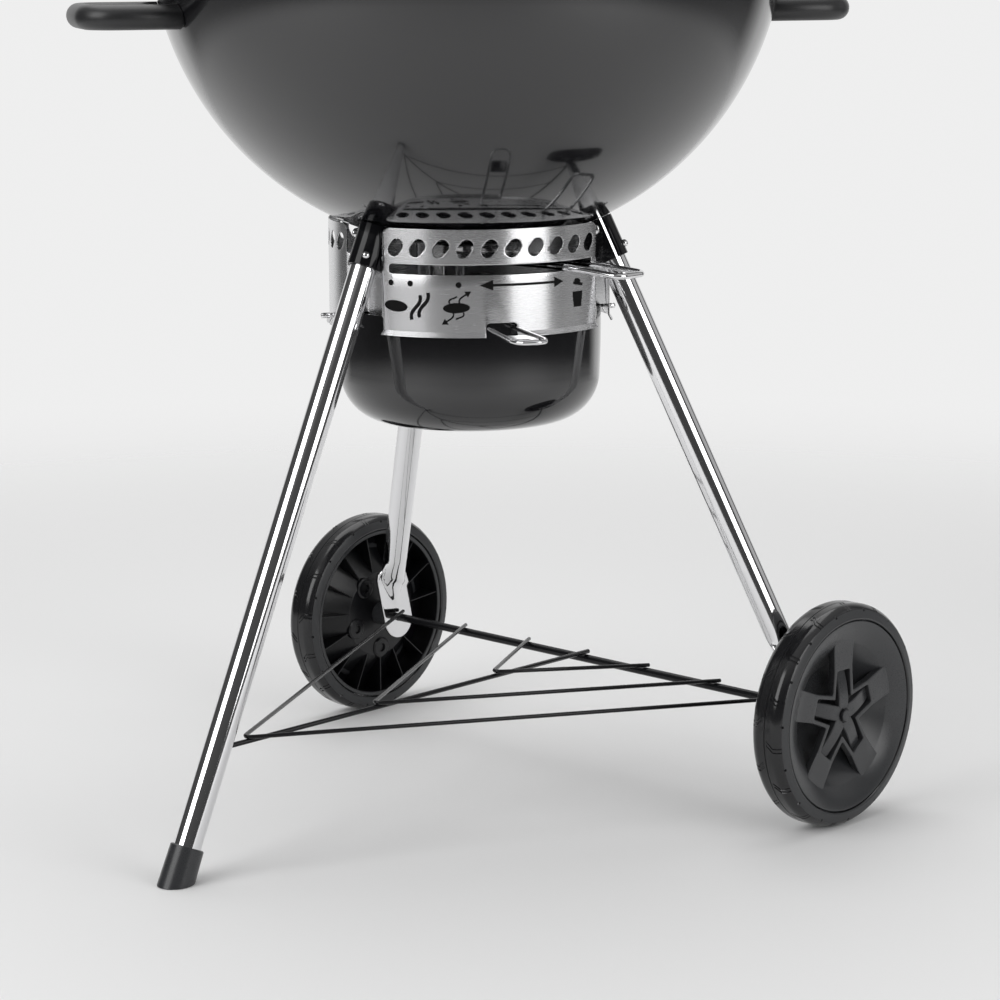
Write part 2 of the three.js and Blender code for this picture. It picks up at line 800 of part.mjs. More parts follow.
function clampRivet(bearing) {
  const face = legRadius + gap + clampWall + gap;
  const along = legTop + rivetDrop;
  const profile = [[0, 0]];
  for (let i = 0; i <= 2; i += 1) {
    const turn = radians(45 * i);
    profile.push([rivetRadius * Math.cos(turn), rivetRadius * (0.3 + 0.8 * Math.sin(turn))]);
  }
  profile.splice(1, 0, [rivetRadius, 0]);
  const outward = besideLeg(bearing, along, 1).sub(besideLeg(bearing, along));
  const head = toSolid(placed(turnedGeometry(profile, 10), besideLeg(bearing, along, face), outward));
  const shank = rod(
    besideLeg(bearing, along, legRadius + gap),
    besideLeg(bearing, along, face + 0.5),
    rivetRadius * 0.5,
    8,
  );
  return head.add(shank);
}

function footCap() {
  const end = alongAtHeight(0) + footCapRadius;
  const outside = rod(
    besideLeg(frontLeg, alongAtHeight(footCapHeight)),
    besideLeg(frontLeg, end),
    footCapRadius - 1,
    16,
    footCapRadius,
  );
  const bore = rod(
    besideLeg(frontLeg, alongAtHeight(footCapHeight) - footCapRadius),
    besideLeg(frontLeg, alongAtHeight(footClear) - legRadius * Math.tan(legLean) + gap),
    legRadius + gap,
    16,
  );
  const floorSize = 6 * footCapRadius;
  const floor = new THREE.BoxGeometry(floorSize, floorSize, floorSize).translate(0, 0, -floorSize / 2);
  const foot = besideLeg(frontLeg, alongAtHeight(0));
  return cutBy(outside, [bore, toSolid(floor.translate(foot.x, foot.y, 0))]);
}

// ---------------------------------------------------------------- vent ring

const panelCentres = [ringTurn, ringTurn + 120, ringTurn + 240];

// The ring's outline with one flat behind each hole, moved outward by a distance.
function ringOutline(height, outward) {
  const corners = [];
  const half = recessSpread / 2;
  for (const centre of panelCentres) {
    const recess = centre - 60;
    corners.push({ point: around(recessRadius, recess - half + recessTurn, 0), fillet: panelFillet });
    corners.push({ point: around(recessRadius, recess + half - recessTurn, 0), fillet: panelFillet });
    corners.push({ point: around(ringRadius, recess + half, 0), fillet: panelFillet });
    for (let i = 1; i < holeCount; i += 1) {
      const bearing = centre + (i - holeCount / 2) * holePitch;
      corners.push({ point: around(ringRadius, bearing, 0), fillet: 0 });
    }
    corners.push({ point: around(ringRadius, centre + 60 - half, 0), fillet: panelFillet });
  }
  const points = [];
  corners.forEach(({ point, fillet }, i) => {
    if (fillet === 0) {
      points.push(point);
      return;
    }
    const before = corners[(i + corners.length - 1) % corners.length].point;
    const after = corners[(i + 1) % corners.length].point;
    const toBefore = before.clone().sub(point).normalize();
    const toAfter = after.clone().sub(point).normalize();
    const start = point.clone().addScaledVector(toBefore, fillet);
    const end = point.clone().addScaledVector(toAfter, fillet);
    points.push(...new THREE.QuadraticBezierCurve3(start, point, end).getPoints(2));
  });
  return insetLoop(points, outward).map((point) => point.setZ(height));
}

// A closed loop moved outward by a distance, square to its sides.
function insetLoop(points, outward) {
  return points.map((point, i) => {
    const before = points[(i + points.length - 1) % points.length];
    const after = points[(i + 1) % points.length];
    const arriving = point.clone().sub(before).normalize();
    const leaving = after.clone().sub(point).normalize();
    const along = arriving.clone().add(leaving).normalize();
    const normal = new THREE.Vector3(along.y, -along.x, 0);
    return point.clone().addScaledVector(normal, outward / Math.max(along.dot(leaving), 0.5));
  });
}

function obroundGeometry(length, width, depth) {
  const shape = new THREE.Shape();
  const straight = (length - width) / 2;
  shape.absarc(straight, 0, width / 2, -Math.PI / 2, Math.PI / 2);
  shape.absarc(-straight, 0, width / 2, Math.PI / 2, (3 * Math.PI) / 2);
  return new THREE.ExtrudeGeometry(shape, { depth, bevelEnabled: false, curveSegments: 2 });
}

// A cutter that runs straight out through the ring's wall.
function throughWall(geometry, bearing, height) {
  const outward = around(1, bearing, 0);
  const start = around(ringRadius - 8, bearing, height);
  const level = around(1, bearing + 90, 0);
  return toSolid(placed(geometry, start, outward, level));
}

// An upright block between two radii and two bearings.
function sector(inner, outer, from, to, low, high, steps = 8) {
  const corners = [];
  for (let i = 0; i <= steps; i += 1) {
    const point = around(outer, from + ((to - from) * i) / steps, 0);
    corners.push([point.x, point.y]);
  }
  for (let i = steps; i >= 0; i -= 1) {
    const point = around(inner, from + ((to - from) * i) / steps, 0);
    corners.push([point.x, point.y]);
  }
  return toSolid(prismGeometry(corners, high - low).translate(0, 0, low));
}

function ventRing() {
  const band = loft(
    [
      ringOutline(ringTop, 0),
      ringOutline(ringCrease, 0),
      ringOutline(ringFoot, ringFlare),
      ringOutline(ringFoot, ringFlare - ringSheet),
      ringOutline(ringCrease, -ringSheet),
      ringOutline(ringTop, -ringSheet),
    ],
    true,
  );
  const cutters = [];
  for (const centre of panelCentres) {
    for (let i = 0; i < holeCount; i += 1) {
      const bearing = centre + (i - (holeCount - 1) / 2) * holePitch;
      const hole = obroundGeometry(holeLength, holeWidth, 16).rotateZ(radians(holeTilt));
      cutters.push(throughWall(hole, bearing, holeHeight));
    }
    const recess = centre - 60;
    const half = recessSpread / 2 + recessTurn;
    const rimClear = bucketRim + bucketGap;
    const cut = (inner, outer, top) =>
      sector(inner, outer, recess - half, recess + half, ringFoot - ringFlare, top, 3);
    cutters.push(cut(bucketRadius - rimBand, ringRadius - 2 * ringSheet, rimClear));
    cutters.push(cut(recessRadius - rimBand, bucketRadius - rimBand + gap, recessFloor));
  }
  for (const bearing of [frontLeg, rightLeg, rearLeg]) {
    const clear = legRadius + gap + clampWall + 2 * gap;
    const reach = clampLength / 2;
    cutters.push(rod(besideLeg(bearing, legTop - reach), besideLeg(bearing, clampFoot + reach), clear, 14));
    cutters.push(boltAcross(bearing, clampBoltLength - legRadius, clampBoltRadius + 1, 6));
    const along = legTop + clampBoltDrop;
    cutters.push(
      rod(
        besideLeg(bearing, along, 0, -legRadius - 2 * clampBoltCap),
        besideLeg(bearing, along, 0, -legRadius),
        clampBoltHead + 2 * gap,
        10,
      ),
    );
  }
  const underBowl = [...bowlProfile(-gap, 4), [0, ringTop + ringRadius]];
  cutters.push(toSolid(turnedGeometry(underBowl, roundSides)));
  const [slotIn, slotOut] = [ringRadius - 6, ringRadius + 6];
  cutters.push(sector(slotIn, slotOut, slotLeft, slotRight, slotLow, slotHigh, 12));
  const notchTop = bailHeight + 2.4 * bailWire;
  const notchHalf = THREE.MathUtils.radToDeg((bailRootHalf + 1.25 * bailWire) / ringRadius);
  cutters.push(
    sector(slotIn, slotOut, ringTurn - notchHalf, ringTurn + notchHalf, ringFoot - ringFlare, notchTop, 3),
  );
  const pinHalf = THREE.MathUtils.radToDeg((bailWire + 0.5) / ringRadius);
  for (const side of [-1, 1]) {
    const bearing = ringTurn + side * bailSpread;
    const pinTop = bailHeight + bailWire + 0.5;
    cutters.push(
      sector(slotIn, slotOut, bearing - pinHalf, bearing + pinHalf, ringFoot - ringFlare, pinTop, 2),
    );
  }
  return cutBy(band, cutters);
}

// ---------------------------------------------------------------- ash bucket

function bucketSection(inset) {
  const points = [[bucketRadius - inset, bucketRim]];
  for (let i = 0; i <= 4; i += 1) {
    const turn = radians((84 * i) / 4);
    points.push([
      bucketRadius - bucketCorner + (bucketCorner - inset) * Math.cos(turn),
      bucketCornerHeight - (bucketCorner - inset) * Math.sin(turn),
    ]);
  }
  const [edgeRadius, edgeHeight] = points[points.length - 1];
  points.push([edgeRadius / 2, edgeHeight - bucketDish * 0.75]);
  points.push([0, edgeHeight - bucketDish]);
  return points;
}

function bailPins() {
  return [-1, 1].map((side) => ringTurn + side * bailSpread);
}

function ashBucket() {
  const outer = bucketSection(0);
  const inner = bucketSection(bucketSheet).reverse();
  const shell = toSolid(turnedGeometry([...inner, ...outer], bucketSides));
  const cutters = bailPins().map((bearing) =>
    rod(
      around(bucketRadius - rimBand, bearing, bailHeight),
      around(bucketRadius + rimBand, bearing, bailHeight),
      bailWire + gap,
      8,
    ),
  );
  for (const side of [-1, 1]) {
    const [inside, outside] = [bucketRadius - 2 * rimBand, bucketRadius + rimBand];
    const across = around(side * bailRootHalf, ringTurn + 90, 0);
    cutters.push(
      rod(
        around(inside, ringTurn, bailHeight).add(across),
        around(outside, ringTurn, bailHeight).add(across),
        bailWire + gap,
        8,
      ),
    );
  }
  return cutBy(shell, cutters);
}

// One wire: out through the wall as a pin, round inside the rim to the front, out as
// a loop to hold, and back the same way.
function bail() {
  const run = bucketRadius - bucketSheet - bailWire - gap - bailInset;
  const half = [around(bailPinReach, ringTurn - bailSpread, bailHeight)];
  const rootTurn = THREE.MathUtils.radToDeg(Math.asin(bailRootHalf / run));
  half.push(around(run, ringTurn - bailSpread, bailHeight));
  const steps = 9;
  const arcFrom = -bailSpread + 4;
  const arcTo = -rootTurn - 4;
  for (let i = 0; i <= steps; i += 1) {
    half.push(around(run, ringTurn + arcFrom + ((arcTo - arcFrom) * i) / steps, bailHeight));
  }
  const across = (width) => around(-width, ringTurn + 90, 0);
  half.push(around(run * Math.cos(radians(rootTurn)), ringTurn, bailHeight).add(across(bailRootHalf)));
  half.push(around(ringRadius + 2 * bailWire, ringTurn, bailHeight).add(across(bailRootHalf)));
  const tip = (back, width) =>
    around(bailReach - back, ringTurn, bailHeight + bailTipRise).add(across(width));
  half.push(tip(bailBend, bailTipHalf));
  half.push(tip(bailBend * 0.3, bailTipHalf - bailBend * 0.2));
  half.push(tip(0, bailTipHalf - bailBend * 0.6));
  const mirrored = half.map((point) => {
    const local = point.clone().applyAxisAngle(up, -radians(ringTurn));
    local.x = -local.x;
    return local.applyAxisAngle(up, radians(ringTurn));
  });
  return wire([...half, ...mirrored.reverse()], bailWire, 6);
}

// Half the loop's width between the ring and the bend at its tip.
function bailHalfWidth(reach) {
  const root = ringRadius + 2 * bailWire;
  const share = (reach - root) / (bailReach - bailBend - root);
  return bailRootHalf + (bailTipHalf - bailRootHalf) * share;
}

function bailPlate() {
  const [near, far] = [bailReach - 3.6 * bailBend, bailReach - 1.7 * bailBend];
  const half = (reach) => bailHalfWidth(reach) - bailWire - gap;
  const corners = [
    [-half(near), -near],
    [-half(far), -far],
    [half(far), -far],
    [half(near), -near],
  ];
  const plate = prismGeometry(corners, bucketSheet).translate(0, 0, bailHeight + bailTipRise * 0.4);
  return toSolid(plate.rotateZ(radians(ringTurn)));
}

// ---------------------------------------------------------------- sweeper

const bladeTop = bowlBottom + bowlSheet + bladeLift + bladeSheet;

function sweeperBlade(bearing) {
  const under = bowlProfile(bowlSheet + bladeLift, 5);
  const over = bowlProfile(bowlSheet + bladeLift + bladeSheet, 5).reverse();
  const sheet = toSolid(turnedGeometry([...under, ...over], roundSides));
  const corners = [];
  const half = radians(bladeSpread / 2);
  for (let i = 0; i <= 4; i += 1) {
    const turn = -half + (2 * half * i) / 4;
    corners.push([bladeOuter * Math.sin(turn), -bladeOuter * Math.cos(turn)]);
  }
  const root = bladeInner * 0.6;
  corners.push([root, -bladeInner], [-root, -bladeInner]);
  const outline = prismGeometry(corners, 60).translate(0, 0, bowlBottom - 10);
  return sheet.intersect(toSolid(outline.rotateZ(radians(bearing))));
}

function onAxis(height) {
  return new THREE.Vector3(0, 0, height);
}

const bladeRise = hubPlateRadius * Math.tan(bowlArc / bowlSteps / 2); // along the bowl's first flat
const hubPlateFoot = bladeTop + bladeRise + gap;
const armFoot = leverHeight + leverWire + gap;
const nutTop = armFoot - gap;

function sweeperHub() {
  const plate = rod(onAxis(hubPlateFoot), onAxis(hubPlateFoot + hubPlateSheet), hubPlateRadius, 20);
  const bossTop = onAxis(hubPlateFoot + hubBossHeight);
  const boss = rod(onAxis(hubPlateFoot + hubPlateSheet / 2), bossTop, shaftRadius + hubBossWall, 12);
  const shaftFoot = onAxis(nutTop - nutHeight - hubBossWall);
  const shaft = rod(shaftFoot, onAxis(hubPlateFoot + hubPlateSheet / 2), shaftRadius, 16);
  return joined([plate, boss, shaft]);
}

function leverArm() {
  const corners = [
    [-armHalf, armHalf],
    [-leverHalf - leverWire, -armReach],
    [leverHalf + leverWire, -armReach],
    [armHalf, armHalf],
  ];
  const plate = prismGeometry(corners, armSheet).translate(0, 0, armFoot);
  const hole = rod(onAxis(armFoot - armSheet), onAxis(armFoot + 2 * armSheet), shaftRadius + gap, 16);
  return toSolid(plate.rotateZ(radians(leverTurn))).subtract(hole);
}

function leverLoop() {
  const tip = leverReach - leverWire;
  const across = (side) => around(side * leverHalf, leverTurn + 90, 0);
  const place = (radius, height, side) => around(radius, leverTurn, height).add(across(side));
  const corners = [
    place(leverRoot, leverHeight, -1),
    place(ringRadius + 2 * leverWire, leverHeight, -1),
    place(tip, leverTipHeight, -1),
    place(tip, leverTipHeight, 1),
    place(ringRadius + 2 * leverWire, leverHeight, 1),
    place(leverRoot, leverHeight, 1),
  ];
  return wire(rounded(corners, leverBend, 4), leverWire, 8);
}

function sweeperNut() {
  return rod(onAxis(nutTop - nutHeight), onAxis(nutTop), shaftRadius + hubBossWall, 6).subtract(
    rod(onAxis(nutTop - 2 * nutHeight), onAxis(nutTop + nutHeight), shaftRadius + gap, 16),
  );
}

// ---------------------------------------------------------------- axle, rack, wheels

const hubFace = wheelOffset + crownHeight + capHeight; // from the leg's axis

function axle() {
  const reach = axleHalf + hubFace - axleSetback;
  return rod(
    axleMiddle.clone().addScaledVector(axleDirection, -reach),
    axleMiddle.clone().addScaledVector(axleDirection, reach),
    axleRadius,
    12,
  );
}

const spineHeight = axleHeight + axleRadius + gap + spineWire;

function onSpine(share, height) {
  const leg = besideLeg(frontLeg, alongAtHeight(spineHeight));
  const length = leg.clone().sub(axleMiddle).setZ(0).length();
  return axleMiddle.clone().addScaledVector(rackDirection, share * length).setZ(height);
}

function rackSpine() {
  const start = onSpine(0, spineHeight).addScaledVector(rackDirection, -vTip);
  const end = onSpine(1, spineHeight);
  const legSkin = (legRadius + gap) / Math.cos(legLean);
  end.addScaledVector(rackDirection, -legSkin - spineWire * Math.tan(legLean));
  return rod(start, end, spineWire, 10);
}

function rackV(halfWidth, reach) {
  const axleTop = axleHeight + axleRadius + gap + vWire;
  const apexHeight = spineHeight + spineWire + gap + vWire;
  const apex = onSpine(reach, apexHeight);
  const ends = [-1, 1].map((side) => {
    const crossing = axleMiddle.clone().addScaledVector(axleDirection, side * halfWidth);
    crossing.setZ(axleTop);
    const back = crossing.clone().sub(apex).normalize();
    return crossing.addScaledVector(back, vTip);
  });
  return wire(rounded([ends[0], apex, ends[1]], 6, 4), vWire, 8);
}

// A wheel in its own frame: Z along the axle, the outer face towards +Z.
function tyre() {
  const half = wheelWidth / 2;
  const face = [
    [wheelRadius, treadFlat],
    [(wheelRadius + treadEdge) / 2 + 1, (half + treadFlat) / 2 + 1],
    [treadEdge, half - treadEdgeInset],
    [sidewallRadius, half],
    [rimRadius, half - sidewallStep],
  ];
  const back = face.map(([radius, height]) => [radius, -height]).reverse();
  return toSolid(turnedGeometry([...back, ...face, back[0]], wheelSides));
}

// The rim, the dished face and the closed well behind the spokes, in one turned profile.
function wheelBody() {
  const half = wheelWidth / 2;
  const rim = rimRadius - gap;
  const barrel = rim - barrelWall;
  const bore = axleRadius + axlePlay;
  const profile = [
    [bore, hubFoot],
    [hubRadius, hubFoot],
    [hubRadius, wellFloor - hubWall],
    [wellRadius, wellFloor - hubWall],
    [dishRadius + hubWall, dishHeight - hubWall],
    [barrel, half - barrelInset - 2 * hubWall],
    [barrel, -half + barrelInset],
    [rim, -half + barrelInset],
    [rim, half - barrelInset / 2],
    [barrel, half - barrelInset],
    [dishRadius, dishHeight],
    [wellRadius - hubWall, wellFloor],
    [hubRadius, wellFloor],
    [hubRadius, crownHeight],
    [bore, crownHeight],
  ];
  return toSolid(turnedGeometry([...profile, profile[0]], wheelSides));
}

const hubFoot = -(wheelOffset + paddleInset - paddleThick / 2 - hubClear);

function atTurn(radius, turn, height = 0) {
  return new THREE.Vector3(radius * Math.cos(turn), radius * Math.sin(turn), height);
}

// Spoke plates that open into two legs each and meet their neighbours round the hub.
function spokePlates() {
  const outside = [];
  const inside = [];
  for (let i = 0; i < spokeCount; i += 1) {
    const turn = (2 * Math.PI * i) / spokeCount;
    const between = turn + Math.PI / spokeCount;
    const corner = (along, across) => new THREE.Vector3(along, across, 0).applyAxisAngle(up, turn);
    outside.push(corner(spokeRoot, -spokeRootHalf), corner(spokeReach, -spokeHalf));
    outside.push(corner(spokeReach, spokeHalf), corner(spokeRoot, spokeRootHalf));
    outside.push(atTurn(legCrotch, between));
    inside.push(corner(spokeRoot, legWidth - spokeRootHalf));
    inside.push(corner(spokeRoot, spokeRootHalf - legWidth), atTurn(legCrotch - legCutback, between));
  }
  const flat = (points) => points.map((point) => [point.x, point.y]);
  const [star, opening] = [outside, inside].map((points) =>
    toSolid(prismGeometry(flat(points), spokeThick).translate(0, 0, spokeTop - spokeThick)),
  );
  return star.subtract(opening);
}

// A bar from the hub that dips under the inner end of its spoke's plate.
function finger(turn) {
  const half = fingerWidth / 2;
  const section = (along, top) => [
    new THREE.Vector3(along, -half, top - spokeThick / 2),
    new THREE.Vector3(along, half, top - spokeThick / 2),
    new THREE.Vector3(along, half, top),
    new THREE.Vector3(along, -half, top),
  ];
  const loops = [
    section(hubRadius / 2, crownHeight),
    section(spokeRoot / 2, crownHeight - fingerDip * 0.2),
    section(spokeRoot + hubWall, spokeTop - fingerDip),
  ];
  return loft(loops.map((loop) => loop.map((point) => point.applyAxisAngle(up, turn))), false);
}

// A thin web between the well and the barrel, on the wheel's inner side.
function rib(turn) {
  const barrel = rimRadius - gap - barrelWall;
  const corners = [
    [wellRadius - hubWall / 2, wellFloor - hubWall / 2],
    [barrel + barrelWall / 2, -wheelWidth / 2 + 2 * barrelInset],
    [barrel + barrelWall / 2, wheelWidth / 2 - barrelInset - 2 * hubWall],
    [dishRadius + hubWall, dishHeight - hubWall / 2],
  ];
  const web = prismGeometry(corners, ribThick).translate(0, 0, -ribThick / 2);
  return toSolid(web.rotateX(Math.PI / 2).rotateZ(turn));
}

function wheelHub() {
  const step = (2 * Math.PI) / spokeCount;
  const pieces = [wheelBody(), spokePlates()];
  for (let i = 0; i < spokeCount; i += 1) {
    pieces.push(finger(step * i));
  }
  for (let i = 0; i < ribCount; i += 1) {
    pieces.push(rib((2 * Math.PI * (i + 0.5)) / ribCount));
  }
  const boreCut = rod(onAxis(2 * hubFoot), onAxis(wheelWidth), axleRadius + axlePlay, 12);
  return joined(pieces).subtract(boreCut);
}

function hubCap() {
  const foot = crownHeight + gap;
  return rod(onAxis(foot), onAxis(foot + capHeight), capRadius, 14, capRadius * 0.8);
}

// Puts a wheel's piece on the axle, its outer face away from the kettle.
function onAxleEnd(solid, side) {
  const centre = axleMiddle.clone().addScaledVector(axleDirection, side * (axleHalf + wheelOffset));
  const outward = axleDirection.clone().multiplyScalar(side);
  return toSolid(placed(toGeometry(solid), centre, outward));
}

// ---------------------------------------------------------------- grates

function grateRing(centre, radius) {
  const [middle, height] = centre;
  const profile = [];
  for (let i = 0; i < 4; i += 1) {
    const turn = (2 * Math.PI * i) / 4;
    profile.push([middle + radius * Math.cos(turn), height + radius * Math.sin(turn)]);
  }
  return toSolid(turnedGeometry([...profile, profile[0]], roundSides));
}

function grate(degrees, bars, crossOffset) {
  const seat = seatInBowl(degrees, grateWire);
  const [radius, height] = seat;
  const pieces = [grateRing(seat, grateWire)];
  const span = (offset) => Math.sqrt(radius ** 2 - offset ** 2);
  for (const side of [-1, 1]) {
    const offset = side * crossOffset;
    const reach = span(offset);
    const low = height - barWire / 5;
    pieces.push(
      rod(
        new THREE.Vector3(-reach, offset, low),
        new THREE.Vector3(reach, offset, low),
        grateWire,
        6,
      ),
    );
  }
  const top = height + grateWire + barWire * 0.4;
  for (let i = 0; i < bars; i += 1) {
    const offset = ((i + 0.5) / bars - 0.5) * 2 * (radius - barMargin);
    const reach = span(offset) - barWire / 4;
    pieces.push(
      rod(
        new THREE.Vector3(offset, -reach, top),
        new THREE.Vector3(offset, reach, top),
        barWire,
        4,
      ),
    );
  }
  return joined(pieces);
}

// ---------------------------------------------------------------- assembly

const finishes = {
  enamel: { color: 0x101011, roughness: 0.15, metalness: 0.1 },
  clamp: { color: 0x0c0c0d, roughness: 0.2, metalness: 0.1 },
  plastic: { color: 0x3a3b3d, roughness: 0.5, metalness: 0 },
  rubber: { color: 0x2b2c2d, roughness: 0.45, metalness: 0 },
  grip: { color: 0x141414, roughness: 0.45, metalness: 0 },
  chrome: { color: 0xd6d7d9, roughness: 0.1, metalness: 1 },
  stainless: { color: 0xb9babc, roughness: 0.32, metalness: 1 },
  wire: { color: 0x111112, roughness: 0.35, metalness: 0.3 },
  grate: { color: 0xa8a9ab, roughness: 0.3, metalness: 1 },
};

const grill = new THREE.Group();

function put(name, solid, finish) {
  const mesh = new THREE.Mesh(
    toGeometry(solid),
    new THREE.MeshStandardMaterial(finishes[finish]),
  );
  mesh.name = name;
  grill.add(mesh);
}

put("bowl", bowl(), "enamel");
put("handle_left", sideHandle(-90), "grip");
put("handle_right", sideHandle(90), "grip");
put("lid", lid(), "enamel");
put("lid_handle", lidHandle(), "grip");
put("lid_damper", damperDisc(), "stainless");
put("lid_damper_rivet", damperRivetSolid(), "chrome");

put("leg_front", straightLeg(frontLeg), "chrome");
put("leg_right", wheelLeg(rightLeg, axleDirection.clone().negate()), "chrome");
put("leg_rear", wheelLeg(rearLeg, axleDirection), "chrome");
put("foot_cap", footCap(), "plastic");

for (const [name, bearing] of [["front", frontLeg], ["right", rightLeg], ["rear", rearLeg]]) {
  put(`clamp_shell_${name}`, clampShell(bearing), "clamp");
  put(`clamp_saddle_${name}`, clampSaddle(bearing), "clamp");
  put(`clamp_bolt_${name}`, clampBolt(bearing), "chrome");
  put(`clamp_rivet_${name}`, clampRivet(bearing), "chrome");
}

put("vent_ring", ventRing(), "stainless");

put("ash_bucket", ashBucket(), "enamel");
put("bail", bail(), "stainless");
put("bail_plate", bailPlate(), "stainless");

put("sweeper_hub", sweeperHub(), "stainless");
put("sweeper_blade_1", sweeperBlade(leverTurn), "stainless");
put("sweeper_blade_2", sweeperBlade(leverTurn + 120), "stainless");
put("sweeper_blade_3", sweeperBlade(leverTurn + 240), "stainless");
put("lever_arm", leverArm(), "stainless");
put("lever_loop", leverLoop(), "stainless");
put("sweeper_nut", sweeperNut(), "chrome");

put("axle", axle(), "wire");
put("rack_spine", rackSpine(), "wire");
vHalfWidths.forEach((halfWidth, i) => {
  put(`rack_wire_${i + 1}`, rackV(halfWidth, vReaches[i]), "wire");
});

for (const [name, side] of [["right", -1], ["rear", 1]]) {
  put(`tyre_${name}`, onAxleEnd(tyre(), side), "rubber");
  put(`wheel_hub_${name}`, onAxleEnd(wheelHub(), side), "plastic");
  put(`hub_cap_${name}`, onAxleEnd(hubCap(), side), "plastic");
}

put("charcoal_grate", grate(charcoalGrateAngle, charcoalBars, charcoalCross), "grate");
put("cooking_grate", grate(cookingGrateAngle, cookingBars, cookingCross), "grate");

// The origin goes under the middle of the whole grill's box.
const part = new THREE.Group();
part.add(grill);
const box = new THREE.Box3().setFromObject(grill);
const middle = box.getCenter(new THREE.Vector3());
grill.position.set(-middle.x, -middle.y, -box.min.z);

export default part;
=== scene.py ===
"""A kettle charcoal grill: the looks of every piece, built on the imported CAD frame, in metres."""

import bisect
from math import acos, asin, atan2, copysign, cos, degrees, pi, radians, sin, sqrt, tan

import bmesh
import bpy
from mathutils import Matrix, Vector, geometry


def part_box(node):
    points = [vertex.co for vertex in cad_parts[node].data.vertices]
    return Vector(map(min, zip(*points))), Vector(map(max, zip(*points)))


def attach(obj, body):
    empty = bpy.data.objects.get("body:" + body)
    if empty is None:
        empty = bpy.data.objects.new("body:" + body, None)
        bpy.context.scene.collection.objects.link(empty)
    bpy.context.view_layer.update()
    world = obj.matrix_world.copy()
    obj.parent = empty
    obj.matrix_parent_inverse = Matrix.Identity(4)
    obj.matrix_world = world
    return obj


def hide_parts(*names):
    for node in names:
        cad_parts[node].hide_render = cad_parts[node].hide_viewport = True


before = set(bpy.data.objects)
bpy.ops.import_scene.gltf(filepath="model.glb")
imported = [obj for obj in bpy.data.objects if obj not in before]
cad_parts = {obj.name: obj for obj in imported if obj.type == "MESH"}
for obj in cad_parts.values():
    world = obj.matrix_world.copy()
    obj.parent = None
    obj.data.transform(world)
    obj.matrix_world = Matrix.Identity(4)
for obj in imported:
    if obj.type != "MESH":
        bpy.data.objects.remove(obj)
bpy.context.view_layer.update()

# ---- places

bowl_low, bowl_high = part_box("bowl")
AXIS = Vector(((bowl_low.x + bowl_high.x) / 2, (bowl_low.y + bowl_high.y) / 2, 0))
UP = Vector((0, 0, 1))

BOWL_RADIUS = 0.286
BOWL_BOTTOM = bowl_low.z
BOWL_DEPTH = 0.2455
SPHERE_HEIGHT = BOWL_BOTTOM + BOWL_RADIUS
FOOT_RADIUS = 0.3677
LEAN = atan2(FOOT_RADIUS, SPHERE_HEIGHT)
LEGS = {"front": -60, "right": 60, "rear": 180}
LEG_RADIUS = 0.0122
LEG_TOP = BOWL_RADIUS + 0.0003
WHEEL_RADIUS = 0.1032


def around(radius, bearing, height=0.0):
    """A point at a bearing in degrees, counted from the front (-Y) towards +X."""
    turn = radians(bearing)
    return Vector((radius * sin(turn), -radius * cos(turn), height))


def beside_leg(bearing, along, outward=0.0, sideways=0.0):
    """A point beside a leg, its length counted from the centre of the bowl's sphere."""
    radius = along * sin(LEAN) + outward * cos(LEAN)
    height = SPHERE_HEIGHT - along * cos(LEAN) + outward * sin(LEAN)
    return around(radius, bearing, height) + around(sideways, bearing + 90)


def along_at_height(height):
    return (SPHERE_HEIGHT - height) / cos(LEAN)


def axes_at(origin, z_axis, x_hint=UP):
    """A matrix whose Z runs along z_axis and whose X leans towards x_hint."""
    z = z_axis.normalized()
    x = (x_hint - z * x_hint.dot(z)).normalized()
    y = z.cross(x)
    return Matrix.Translation(origin) @ Matrix((x, y, z)).transposed().to_4x4()


def toward(bearing, along=0.0, outward=0.0, sideways=0.0):
    """A direction beside a leg: down it, away from the kettle, or sideways."""
    return beside_leg(bearing, along, outward, sideways) - beside_leg(bearing, 0)


def spun(turn, axis="Z"):
    return Matrix.Rotation(radians(turn), 4, axis)


def steps(low, high, count):
    """Even steps from low to high, with both ends."""
    return [low + (high - low) * i / count for i in range(count + 1)]


def polar(radius, turn, height=0.0):
    angle = radians(turn)
    return Vector((radius * cos(angle), radius * sin(angle), height))


def arc(x, y, radius, low, high, count, squash=1.0):
    """Points of an arc about (x, y), between two angles in degrees."""
    return [(x + p.x, y + p.y * squash) for p in (polar(radius, turn) for turn in steps(low, high, count))]


def flat(*points):
    return [Vector((point[0], point[1], 0)) for point in points]


# ---- mesh tools


def placed(name, data):
    made = bpy.data.objects.new(name, data)
    bpy.context.scene.collection.objects.link(made)
    return made


def tidied(mesh, weld=False):
    """The mesh with its faces turned outwards and, where asked, with points that coincide joined."""
    work = bmesh.new()
    work.from_mesh(mesh)
    if weld:
        bmesh.ops.remove_doubles(work, verts=work.verts, dist=1e-6)
    bmesh.ops.recalc_face_normals(work, faces=work.faces)
    work.to_mesh(mesh)
    work.free()
    return mesh


def sliced(work, place, normal):
    """Adds the edges where a plane crosses the mesh."""
    bmesh.ops.bisect_plane(work, geom=work.verts[:] + work.edges[:] + work.faces[:], dist=1e-7, plane_co=place,
        plane_no=normal)


def mesh_from(verts, faces):
    mesh = bpy.data.meshes.new("made")
    mesh.from_pydata([tuple(v) for v in verts], [], faces)
    return tidied(mesh)


def merged(meshes):
    """One mesh that holds several closed shells."""
    work = bmesh.new()
    for mesh in meshes:
        work.from_mesh(mesh)
    whole = bpy.data.meshes.new("merged")
    work.to_mesh(whole)
    work.free()
    return whole


def moved(mesh, matrix):
    copy = mesh.copy()
    copy.transform(matrix)
    return copy


